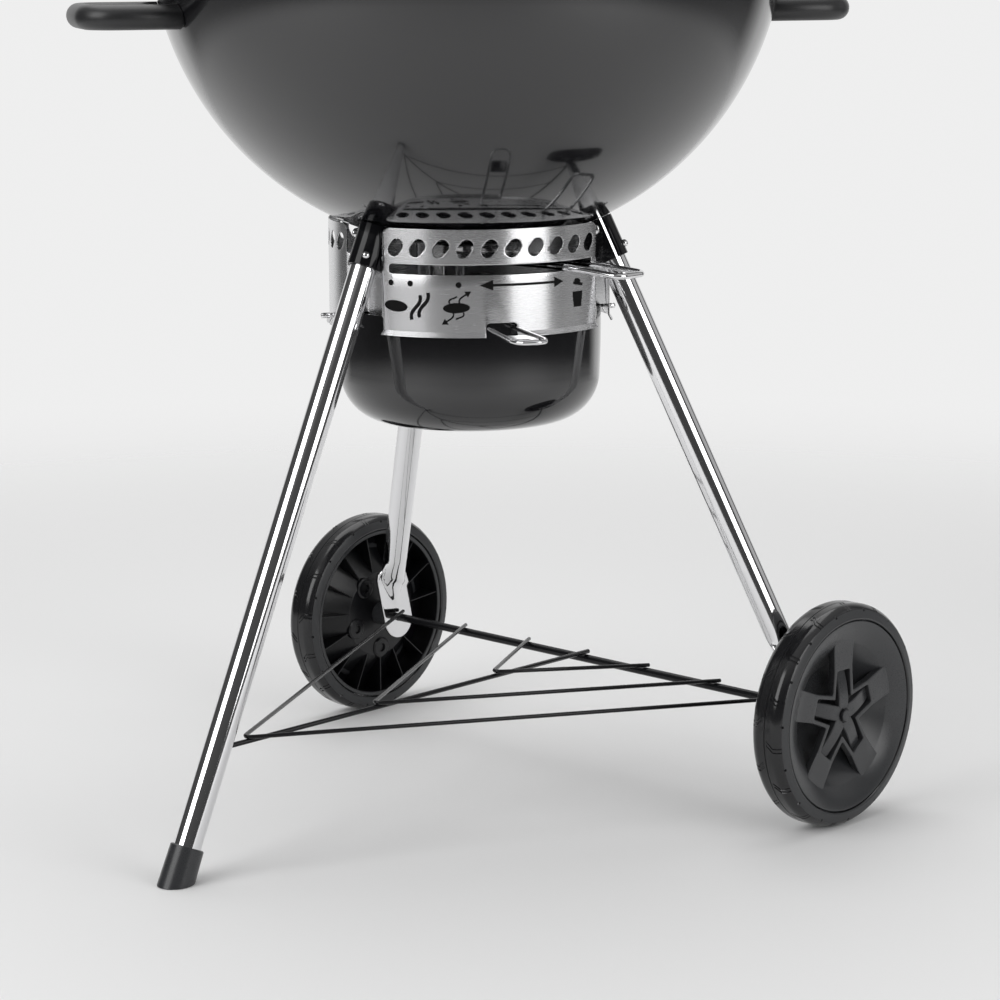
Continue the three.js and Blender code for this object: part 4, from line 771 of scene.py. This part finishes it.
def obround(run, height, length, width, turn):
    reach, radius = (length - width) / 2, width / 2
    return tilted(arc(reach, 0, radius, -90, 90, 10) + arc(-reach, 0, radius, 90, 270, 10), run, height, turn)


def ring_edge():
    """The flattened ring's outline: panels, recesses, and the cut-outs in its lower edge."""
    shoulder = [(0.0046, RECESS_TOP, 0.003), (0.0046, RING_TOP, 0.009)]
    foot = [(-0.0162, RECESS_FLOOR, 0.001), (-0.0162, RETURN_FLOOR, 0.001), (0.0055, RETURN_FLOOR, 0.0015),
        (0.0045, RING_FOOT, 0.0006)]
    top, bottom = [(0.0002, RECESS_TOP, 0)], [(0.0002, RECESS_FLOOR, 0)]
    for centre in PANELS:
        low, high = centre - PANEL_HALF, centre + PANEL_HALF
        start, end = run_at(low), run_at(high)
        top += [(start + x, y, r) for x, y, r in shoulder] + [(end - x, y, r) for x, y, r in shoulder[::-1]]
        bottom += [(start + x, y, r) for x, y, r in foot]
        for bearing, half, height, radius in NOTCHES:
            if low < bearing < high:
                sides = [(-half, RING_FOOT, 0.0006), (-half, height, radius)]
                bottom += [(run_at(bearing) + x, y, r) for x, y, r in sides]
                bottom += [(run_at(bearing) - x, y, r) for x, y, r in sides[::-1]]
        bottom += [(end - x, y, r) for x, y, r in foot[::-1]]
    edge = bottom + [(RUN[-1] - 0.0002, RECESS_FLOOR, 0), (RUN[-1] - 0.0002, RECESS_TOP, 0)] + top[::-1]
    return rounded_loop(flat(*edge), [radius for *_, radius in edge])


def build_ring():
    loops = [ring_edge()]
    for centre in PANELS:
        loops += [obround(run_at(centre + (i - 4.5) * HOLE_PITCH), HOLE_HEIGHT, 0.0175, 0.012, HOLE_TILT)
            for i in range(10)]
    left, far = run_at(-49.3), run_at(42.4)
    slot = flat((left, 0.51), (far, 0.51), (far, 0.5188), (left, 0.5188))
    loops.append(rounded_loop(slot, [0.0035, 0.0008, 0.0008, 0.0035], 5))
    sheet = wrapped(plate(loops, -RING_SHEET, 0, 0.00035, 2))
    piece("vent_ring_sheet", sheet, STEEL, ["vent_ring"])


def stroke(points, half):
    """The outline of a line drawn with an even width."""
    left, right = [], []
    for before, point, after in zip(points[:1] + points, points, points[1:] + points[-1:]):
        across = outward_of((after - before).normalized()) * half
        left.append(point - across)
        right.append(point + across)
    return left + right[::-1]


def arrow_head(tip, direction, length, half):
    base, side = tip - direction * length, outward_of(direction) * half
    return [tip, base - side, base + side]


def build_markings():
    """Plain signs on the front panel: positions, open and closed vents, smoke, and the ash bin."""
    dots = ((-48.2, 0.502), (-39.6, 0.502), (-20.0, 0.5015))
    signs = [ellipse(run_at(bearing), height, 0.0026, 0.0026) for bearing, height in dots]
    signs.append(ellipse(run_at(-46.1), 0.4815, 0.0118, 0.005, -4))
    for bearing, middle in ((-37.3, 0.481), (-34.0, 0.4833)):
        wave = [(run_at(bearing) + 0.002 * sin(2 * pi * share) + 0.008 * share, middle + 0.022 * share)
            for share in steps(-0.5, 0.5, 12)]
        signs.append(stroke(flat(*wave), 0.0016))
    vent = run_at(-20.9)
    signs.append(ellipse(vent, 0.4812, 0.012, 0.0045, 2))
    for side in (-1, 1):
        middle = Vector((vent + side * 0.0045, 0.4812, 0))
        for up in (1, -1):
            headed = up == side
            start = middle + Vector((-0.0015, 0.004, 0)) * up
            end = middle + Vector((0.005, 0.0125 if headed else 0.01, 0)) * up
            one, two = start + Vector((-0.0024, 0.004, 0)) * up, end - Vector((0.003, 0.002, 0)) * up
            points = geometry.interpolate_bezier(start, one, two, end, 8)
            signs.append(stroke(points, 0.0007))
            if headed:
                direction = (points[-1] - points[-3]).normalized()
                signs.append(arrow_head(end + direction * 0.0042, direction, 0.0052, 0.003))
    left, far = run_at(-11.8), run_at(24.3)
    signs.append(flat((left + 0.01, 0.5), (far - 0.008, 0.5), (far - 0.008, 0.5022), (left + 0.01, 0.5022)))
    signs.append(arrow_head(Vector((left, 0.5011, 0)), Vector((-1, 0, 0)), 0.012, 0.0046))
    signs.append(arrow_head(Vector((far, 0.5011, 0)), Vector((1, 0, 0)), 0.01, 0.0046))
    can, cover = run_at(32.6), run_at(32.9)
    signs.append(flat((can - 0.005, 0.4768), (can + 0.005, 0.4768), (can + 0.0066, 0.4905), (can - 0.0066, 0.4905)))
    signs.append(stroke(flat((cover - 0.0062, 0.4985), (cover + 0.0062, 0.4962)), 0.0013))
    signs.append(ellipse(cover - 0.0008, 0.5, 0.004, 0.0022, -10, 20))
    marks = wrapped(merged([plate([sign], 0.00005, 0.0003, 0.00005, 0) for sign in signs]))
    piece("ring_signs", marks, INK, ())


# ---- ash bucket and bail

BUCKET_RADIUS = 0.121
BUCKET_RIM = 0.4698
BUCKET_CORNER = 0.0437
BUCKET_SHEET = 0.0012
BUCKET_DRAFT = 0.0012
DRAFT_TOP, CORNER_HEIGHT = 0.456, 0.4068
BAIL_HEIGHT = 0.4628
BAIL_WIRE = 0.002
BAIL_REACH = 0.24
BAIL_BEND = 0.014
ROOT_HALF, TIP_HALF = 0.0118, 0.015


def bucket_line(inset):
    points = [(BUCKET_RADIUS - inset, BUCKET_RIM)]
    points += [(BUCKET_RADIUS - inset - BUCKET_DRAFT * share**2, DRAFT_TOP + (CORNER_HEIGHT - DRAFT_TOP) * share)
        for share in steps(0, 1, 12)[:-1]]
    points += arc(BUCKET_RADIUS - BUCKET_DRAFT - BUCKET_CORNER, CORNER_HEIGHT, BUCKET_CORNER - inset, -2.5, -84, 20)
    edge_radius, edge_height = points[-1]
    return points + [(edge_radius * share, edge_height - 0.006 * (1 - share**2)) for share in steps(1, 0, 12)[1:]]


def bail_rod(bearing, low, high, radius, shift=Vector()):
    ends = [around(reach, bearing, BAIL_HEIGHT) + shift for reach in (low, high)]
    return rod(*ends, radius, 24)


def build_bucket():
    rim = [(BUCKET_RADIUS - 0.0003, BUCKET_RIM), (BUCKET_RADIUS - BUCKET_SHEET + 0.0003, BUCKET_RIM)]
    shell = lathe(bucket_line(0)[::-1] + rim + bucket_line(BUCKET_SHEET), SIDES)
    tools = []
    for side in (-1, 1):
        across = around(side * ROOT_HALF, RING_TURN + 90)
        for bearing, depth, shift in ((RING_TURN + side * 90, 0.008, Vector()), (RING_TURN, 0.01, across)):
            tools.append(bail_rod(bearing, BUCKET_RADIUS - depth, BUCKET_RADIUS + 0.008, BAIL_WIRE + GAP, shift))
    piece("ash_bucket_pan", evaluated(shell, tools), ENAMEL, ["ash_bucket"], 40, "bucket")
    for name, bearing in (("left", RING_TURN - 90), ("right", RING_TURN + 90)):
        outline = flat((-0.006, 0.0022), (0.006, 0.0022), (0.0015, -0.0085), (-0.0015, -0.0085))
        tab = plate([rounded_loop(outline, 0.001, 3)], 0, 0.0012, 0.0002, 1)
        spot = around(BUCKET_RADIUS + 0.0001, bearing, BAIL_HEIGHT - 0.0052)
        place = axes_at(spot, around(1, bearing), around(1, bearing + 90))
        piece(f"pin_tab_{name}", moved(tab, place), CHROME, (), 40, "bucket")


def build_bail():
    run = BUCKET_RADIUS - BUCKET_SHEET - BAIL_WIRE - 0.0012
    root_turn = degrees(asin(ROOT_HALF / run))
    half = [around(0.139, RING_TURN - 90, BAIL_HEIGHT), around(run, RING_TURN - 90, BAIL_HEIGHT)]
    half += [around(run, turn, BAIL_HEIGHT) for turn in steps(RING_TURN - 86, RING_TURN - 4 - root_turn, 24)]
    grip = [(run * cos(radians(root_turn)), ROOT_HALF, 0), (RING_RADIUS + 0.004, ROOT_HALF, 0),
        (BAIL_REACH - BAIL_BEND, TIP_HALF, 0.002), (BAIL_REACH - 0.0042, TIP_HALF - 0.0028, 0.002),
        (BAIL_REACH, TIP_HALF - 0.0084, 0.002)]
    half += [around(reach, RING_TURN, BAIL_HEIGHT + lift) + around(-width, RING_TURN + 90)
        for reach, width, lift in grip]
    mirror = spun(RING_TURN) @ Matrix.Diagonal((-1, 1, 1, 1)) @ spun(-RING_TURN)
    path = rounded(half + [mirror @ point for point in half[::-1]], 0.005, 5)
    piece("bail_wire", sweep(path, BAIL_WIRE, 16), CHROME, ["bail"], 50, "bucket")
    pegs = [bail_rod(RING_TURN + turn, RING_RADIUS + 0.0016, 0.1388, 0.0026) for turn in (-90, 90)]
    piece("bail_pegs", merged(pegs), CHROME, (), 50, "bucket")

    foot = RING_RADIUS + 0.004
    outline = []
    for reach, sides in ((BAIL_REACH - 3.6 * BAIL_BEND, (-1, 1)), (BAIL_REACH - 1.7 * BAIL_BEND, (1, -1))):
        share = (reach - foot) / (BAIL_REACH - BAIL_BEND - foot)
        width = ROOT_HALF + (TIP_HALF - ROOT_HALF) * share - BAIL_WIRE - 0.0004
        outline += [(side * width, -reach) for side in sides]
    tongue = plate([rounded_loop(flat(*outline), 0.003, 4)], BAIL_HEIGHT + 0.0008, BAIL_HEIGHT + 0.002, 0.0002, 1)
    piece("bail_tongue", moved(tongue, spun(RING_TURN)), CHROME, ["bail_plate"], 40, "bucket")


# ---- sweeper

LEVER_WIRE = 0.0028
LEVER_HALF = 0.0184
LEVER_REACH = 0.1945
LEVER_HEIGHT = 0.5136
LEVER_TIP = 0.5092


def build_lever():
    half = [(0.03, LEVER_HEIGHT), (RING_RADIUS + 2 * LEVER_WIRE, LEVER_HEIGHT), (LEVER_REACH - LEVER_WIRE, LEVER_TIP)]
    corners = [around(radius, LEVER_TURN, height) + around(side * LEVER_HALF, LEVER_TURN + 90)
        for side, line in ((-1, half), (1, half[::-1])) for radius, height in line]
    wire = sweep(rounded(corners, 0.0095), LEVER_WIRE, 20)
    piece("lever_wire", wire, CHROME, ["lever_loop"], 50, "sweeper")


# ---- axle and rack

SPINE_WIRE, V_WIRE = 0.00225, 0.0019
AXLE_TOP = AXLE_HEIGHT + AXLE_RADIUS + GAP


def build_rack():
    reach = AXLE_HALF + WHEEL_OUT + 0.0105
    bar = rod(AXLE_MIDDLE - AXLE_DIRECTION * reach, AXLE_MIDDLE + AXLE_DIRECTION * reach, AXLE_RADIUS)
    piece("axle_bar", bar, WIRE, ["axle"], 40)
    spine_height = AXLE_TOP + SPINE_WIRE
    length = (beside_leg(LEGS["front"], along_at_height(spine_height)) - AXLE_MIDDLE).xy.length

    def on_spine(share, height, back=0.0):
        spot = AXLE_MIDDLE + RACK_DIRECTION * (share * length - back)
        return Vector((spot.x, spot.y, height))

    stop = (LEG_RADIUS + GAP) / cos(LEAN) + SPINE_WIRE * tan(LEAN)
    spine = sweep([on_spine(0, spine_height, 0.004), on_spine(1, spine_height, stop)], SPINE_WIRE, 20)
    piece("rack_spine_wire", spine, WIRE, ["rack_spine"], 50)
    for i, (half_width, share) in enumerate([(0.0776, 0.278), (0.1664, 0.609), (0.2575, 0.939)], 1):
        apex = on_spine(share, spine_height + SPINE_WIRE + GAP + V_WIRE)
        ends = []
        for side in (-1, 1):
            crossing = AXLE_MIDDLE + AXLE_DIRECTION * (side * half_width)
            crossing.z = AXLE_TOP + V_WIRE
            ends.append(crossing + (crossing - apex).normalized() * 0.004)
        path = rounded([ends[0], apex, ends[1]], 0.006, 6)
        piece(f"rack_v_{i}", sweep(path, V_WIRE, 16), WIRE, [f"rack_wire_{i}"], 50)


# ---- wheels
# In a wheel's own frame Z points out along the axle and X points up.

RIM = 0.0886
DISH = 0.066
WELL = 0.0425
SPOKE_TURNS = (0, 72, 144, 216, 288)
RIBS = 15
TREAD_HALF = 0.0156


def tread_radius(height):
    """The tyre's outer radius at a distance from its middle plane."""
    share = max(0.0, abs(height) - 0.007) / 0.009
    return WHEEL_RADIUS - 0.0046 * share**2


def build_tyre():
    edge = [(0.0984, 0.016), (0.0975, 0.0165), (0.0945, 0.0172), (RIM + 0.0022, 0.018), (RIM + 0.0008, 0.0174),
        (RIM + 0.0003, 0.0164)]
    tread = [(tread_radius(height), height) for height in steps(-TREAD_HALF, TREAD_HALF, 32)]
    body = lathe([(r, -h) for r, h in edge[::-1]] + tread + edge, 120)
    sipe = [(0.0022, -3.2), (0.006, -1.6), (0.0088, 0), (0.0125, 0.2), (0.0162, 0.2)]
    cuts = []
    for side in (-1, 1):
        for k in range(15):
            first, notch = 24 * k + (12 if side < 0 else 0), 24 * k + (12 if side > 0 else 0) + 0.8
            for turn in (first, first + 2.1):
                line = [polar(tread_radius(h) + 0.0001, turn + lag, side * h) for h, lag in sipe]
                cuts.append(sweep(line, 0.001, 6))
            line = [polar(tread_radius(0.016) + lift, notch, side * 0.0162) for lift in (-0.002, 0.001)]
            cuts.append(sweep(line, 0.0013, 6))
    cuts.append(lathe([(WHEEL_RADIUS - 0.0006, -0.0004), (WHEEL_RADIUS + 0.001, -0.0006),
        (WHEEL_RADIUS + 0.001, 0.0006), (WHEEL_RADIUS - 0.0006, 0.0004)], 120))
    return evaluated(body, [merged(cuts)])


def finger(turn):
    """A bar from the hub's middle that dips under the spoke's plate."""
    loops, ease = [], 0.0008
    for share in steps(0, 1, 14):
        along, half = 0.047 * share, 0.007 - 0.0006 * share
        top = 0.0105 - 0.007 * (max(0.0, along - 0.014) / 0.033) ** 1.6
        section = [(-half, top - ease), (-half + ease, top), (half - ease, top), (half, top - ease),
            (half, top - 0.006), (-half, top - 0.006)]
        loops.append([Vector((along, y, z)) for y, z in section])
    return moved(skin(loops), spun(turn))


def spider():
    """The five spoke plates and the legs that join them, as one sheet with an open middle."""
    tip = flat((0.0425, -0.0132), (0.069, -0.0146), *arc(0, 0, 0.0717, -8, 8, 4), (0.069, 0.0146), (0.0425, 0.0132),
        polar(0.0255, 36))
    hollow = flat((0.042, -0.0092), (0.042, 0.0092), polar(0.0195, 36))
    outer, inner = ([spun(turn) @ point for turn in SPOKE_TURNS for point in part] for part in (tip, hollow))
    outer_radii = [0.002, 0.0008, 0, 0, 0, 0, 0, 0.0008, 0.002, 0.0015] * 5
    loops = [rounded_loop(outer, outer_radii, 4), rounded_loop(inner, [0.002, 0.002, 0.001] * 5, 4)]
    sheet = plate(loops, 0.0025, 0.0095, 0.0008, 2)
    work = bmesh.new()
    work.from_mesh(sheet)
    for along in steps(0.0415, 0.0695, 8):
        for turn in SPOKE_TURNS:
            sliced(work, polar(along, turn), polar(1, turn))
    for vert in work.verts:
        vert.co.z += 0.001 * max(0.0, min(1.0, (vert.co.xy.length - 0.06) / 0.012)) ** 2
    work.to_mesh(sheet)
    work.free()
    return sheet


def build_hub():
    """The hub's moulding, and the studs, ribs and lining behind it, coloured darker as painted shade. The lining is a
    thin dark sheet laid over the well's back where there is only shade.
    """
    foot = PADDLE_THICK / 2 + 0.0006 - WHEEL_OUT - PADDLE_INSET
    rim = RIM - 0.0003
    bore = AXLE_RADIUS + 0.0004
    body = lathe([(bore, foot), (0.011, foot), (0.012, foot + 0.001), (0.012, -0.015), (WELL + 0.002, -0.015),
        (WELL + 0.003, -0.0142), (DISH + 0.003, 0.005), (rim - 0.004, 0.01), (rim - 0.004, -0.0158),
        (rim - 0.0034, -0.0164), (rim - 0.0006, -0.0164), (rim, -0.0158), (rim, 0.016), (rim - 0.0008, 0.0169),
        (rim - 0.003, 0.0165), (0.0775, 0.0134), (DISH + 0.001, 0.0089), (DISH, 0.008), (WELL + 0.0004, -0.0116),
        (WELL - 0.0004, -0.012), (0.0125, -0.012), (0.012, -0.0115), (0.012, 0.006), (bore, 0.006)], 120)
    crown = lathe([(0.0058, 0.0104), (0.0064, 0.01), (0.0069, 0.01), (0.0075, 0.0106), (0.0105, 0.0104),
        (0.011, 0.0098), (0.011, 0.005), (0.0058, 0.005)], 64)
    stud = lathe([(0, -0.0125), (0.0114, -0.0125), (0.0108, -0.016), (0.0092, -0.0171), (0.0046, -0.0173),
        (0.004, -0.0152), (0, -0.0152)], 32)
    inner = [moved(stud, Matrix.Translation(polar(0.037, 36 + turn))) for turn in SPOKE_TURNS]
    rib = plate([flat((WELL + 0.001, -0.0148), (rim - 0.003, -0.0148), (rim - 0.003, 0.011), (DISH + 0.002, 0.0055))],
        -0.0006, 0.0006, 0.0002, 0)
    inner += [moved(rib, spun(360 * (k + 0.5) / RIBS) @ spun(90, "X")) for k in range(RIBS)]
    # The lining: a thin dark sheet just inside the hub's back face, painted shade where there is only shade.
    inner.append(lathe([(0.0121, -0.0151), (WELL + 0.002, -0.0151), (WELL + 0.0031, -0.0143), (DISH + 0.003, 0.0048),
        (rim - 0.0041, 0.0098), (rim - 0.0041, -0.0158), (rim - 0.0043, -0.0158), (rim - 0.0043, 0.0095),
        (DISH + 0.0031, 0.0045), (WELL + 0.0032, -0.0145), (WELL + 0.002, -0.0153), (0.0121, -0.0153)], 120))
    return merged([body, crown, spider()] + [finger(turn) for turn in SPOKE_TURNS]), merged(inner)


def satin_sides_painted_paler(material, axis):
    """The tread is polished by its mould and the tyre's flat sides are satin. The flat sides are also painted a
    little paler than the tread, as painted light for the tread's darker look.
    """
    tree = material.node_tree
    shader = tree.nodes["Principled BSDF"]
    normal = node(tree, "NewGeometry", {}, "Normal")
    across = node(tree, "VectorMath", {0: normal, 1: axis}, "Value", operation="DOT_PRODUCT")
    size = node(tree, "Math", {0: across}, operation="ABSOLUTE")
    side = fade(tree, size, 0.8, 0.95)
    # The paler colour on the flat sides is painted light. The higher roughness there is the real satin finish.
    for name, kind, value in (("Base Color", "RGBA", (0.03, 0.031, 0.033, 1)), ("Roughness", "FLOAT", 0.45)):
        tread = shader.inputs[name].links[0].from_socket
        mix = node(tree, "Mix", {"Factor": side, "A": tread, "B": value}, "Result", data_type=kind)
        feed(tree, shader, {name: mix})


def build_wheels():
    satin_sides_painted_paler(TYRE, AXLE_DIRECTION)
    tyre, (hub, inner) = build_tyre(), build_hub()
    cap = lathe([(0, 0.0108), (0.005, 0.0108), (0.0053, 0.0111), (0.0053, 0.013), (0.0048, 0.0135), (0, 0.0137)], 48)
    for name, side in (("right", -1), ("rear", 1)):
        outward = AXLE_DIRECTION * side
        place = axes_at(AXLE_MIDDLE + outward * (AXLE_HALF + WHEEL_OUT), outward)
        body = f"wheel_{name}"
        piece(f"{body}_tyre", moved(tyre, place), TYRE, [f"tyre_{name}"], 18, body)
        piece(f"{body}_moulding", moved(hub, place), PLASTIC, [f"wheel_hub_{name}"], 32, body)
        # The studs, ribs and lining, in painted shade.
        piece(f"{body}_inner_painted_shade", moved(inner, place), PAINTED_SHADE_PLASTIC, (), 32, body)
        piece(f"{body}_cap", moved(cap, place), PLASTIC, [f"hub_cap_{name}"], 32, body)


# ---- grates

GRATE_RING, GRATE_BAR = 0.0026, 0.002


def build_grate(name, turn, bars, cross, stands_for):
    """A wire ring that rests in the bowl at an angle from its bottom, two cross wires, and the bars on them."""
    angle = radians(turn)
    inner = BOWL_RADIUS - BOWL_SHEET - 0.0012
    radius = inner * sin(angle) - GRATE_RING
    height = SPHERE_HEIGHT - inner * cos(angle) + GRATE_RING * 0.2
    parts = [lathe(arc(radius, height, GRATE_RING, 0, 360, 14)[:-1], 128)]
    half, low = sqrt(radius**2 - cross**2), height - 0.0004
    parts += [sweep([(-half, offset, low), (half, offset, low)], GRATE_RING, 12) for offset in (-cross, cross)]
    top = height + GRATE_RING + GRATE_BAR - 0.0012
    for i in range(bars):
        offset = ((i + 0.5) / bars - 0.5) * 2 * (radius - 0.004)
        half = sqrt(radius**2 - offset**2) - 0.0005
        parts.append(sweep([(offset, -half, top), (offset, half, top)], GRATE_BAR, 10))
    piece(name, merged(parts), GRATE, [stands_for], 50)


# ---- build

for build in (build_bowl, build_side_handles, build_lid, build_lid_handle, build_damper, build_front_leg):
    build()
build_wheel_leg("right", -AXLE_DIRECTION, HUB_RIGHT)
build_wheel_leg("rear", AXLE_DIRECTION, HUB_REAR)
build_foot_cap()
for leg in LEGS:
    build_clamp(leg)
for build in (build_ring, build_markings, build_bucket, build_bail, build_lever, build_rack, build_wheels):
    build()
build_grate("cooking_grid", 70, 33, 0.15, "cooking_grate")
build_grate("charcoal_grid", 53, 17, 0.12, "charcoal_grate")
for name in ("sweeper_hub", "sweeper_blade_1", "sweeper_blade_2", "sweeper_blade_3", "lever_arm", "sweeper_nut"):
    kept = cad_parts[name].data.materials
    kept.clear()
    kept.append(CHROME if name == "sweeper_nut" else STEEL)

# ---- floor, light


def floor_material():
    """Pale floor that keeps the object's shadow and fades into the background far away."""
    material, tree, shader = new_material("studio_floor")
    feed(tree, shader, {"Base Color": (0.8, 0.8, 0.8, 1), "Roughness": 0.7, "Specular IOR Level": 0.2})
    place = node(tree, "TexCoord", {}, "Object")
    distance = node(tree, "VectorMath", {0: place}, "Value", operation="LENGTH")
    camera_ray = node(tree, "LightPath", {}, "Is Camera Ray")
    ends = {"Factor": camera_ray, "A": fade(tree, distance, 1.8, 2.6), "B": fade(tree, distance, 0.9, 2.4)}
    gone = node(tree, "Mix", ends, "Result")
    clear = node(tree, "BsdfTransparent", {})
    whole = node(tree, "MixShader", {"Fac": gone, 1: shader.outputs["BSDF"], 2: clear})
    feed(tree, tree.nodes["Material Output"], {"Surface": whole})
    return material


floor_mesh = mesh_from([(-5, -5, -0.0005), (5, -5, -0.0005), (5, 5, -0.0005), (-5, 5, -0.0005)], [[0, 1, 2, 3]])
floor_mesh.materials.append(floor_material())
placed("floor", floor_mesh)

world = bpy.data.worlds.new("studio")
world.use_nodes = True
bpy.context.scene.world = world
sky = world.node_tree


def shades(name, source, stops):
    """A grey ramp over a value, its stops given as (value between -1 and 1, brightness)."""
    ramp = sky.nodes.new("ShaderNodeValToRGB")
    ramp.name = name
    while len(ramp.color_ramp.elements) < len(stops):
        ramp.color_ramp.elements.new(0.5)
    for element, (at, grey) in zip(ramp.color_ramp.elements, stops):
        element.position = (at + 1) / 2
        element.color = (grey, grey, grey, 1)
    feed(sky, ramp, {"Fac": node(sky, "MapRange", {"Value": source, "From Min": -1, "From Max": 1})})
    return ramp.outputs["Color"]


def chosen(factor, here, there):
    return node(sky, "Mix", {"Factor": factor, "A": here, "B": there}, "Result", data_type="RGBA")


place = node(sky, "TexCoord", {}, "Generated")
elevation = node(sky, "SeparateXYZ", {"Vector": place}, "Z")
facing = node(sky, "VectorMath", {0: place, 1: (look.x, look.y, 0)}, "Value", operation="DOT_PRODUCT")
room = shades("room", elevation, [(-1, 0.45), (-0.3, 0.3), (-0.16, 0.06), (0.05, 0.055), (0.45, 0.075), (0.65, 0.35),
    (0.9, 0.7)])
backdrop = shades("backdrop", elevation, [(-1, 0.75), (0.0, 0.8), (0.6, 0.85), (0.9, 0.4)])
side = shades("side", facing, [(-1, 0), (0.62, 0), (0.8, 1), (1, 1)])
camera_ray, diffuse_ray = (node(sky, "LightPath", {}, out) for out in ("Is Camera Ray", "Is Diffuse Ray"))
light = chosen(camera_ray, chosen(side, room, backdrop), (0.86, 0.86, 0.86, 1))
light = chosen(diffuse_ray, light, (0.42, 0.42, 0.42, 1))
feed(sky, sky.nodes["Background"], {"Color": light, "Strength": 1})


def softbox(name, where, target, width, height, power):
    data = bpy.data.lights.new(name, "AREA")
    data.shape = "RECTANGLE"
    data.size, data.size_y, data.energy = width, height, power
    placed(name, data).matrix_world = axes_at(AXIS + Vector(where), Vector(where) - Vector(target))


softbox("left_box", around(2.5, -68, 1.6), (0, 0, 0.4), 1.75, 1.7, 32)
softbox("right_box", around(2.5, 33, 1.05), (0, 0, 0.4), 1.5, 1.5, 21)
softbox("far_right_box", around(2.5, 84, 1.2), (0, 0, 0.4), 1.6, 1.6, 3)
softbox("overhead", (0.1, 0.9, 2.9), (0, 0.5, 0.0), 2.8, 2.8, 42)

scene = bpy.context.scene
scene.view_settings.view_transform = "Standard"
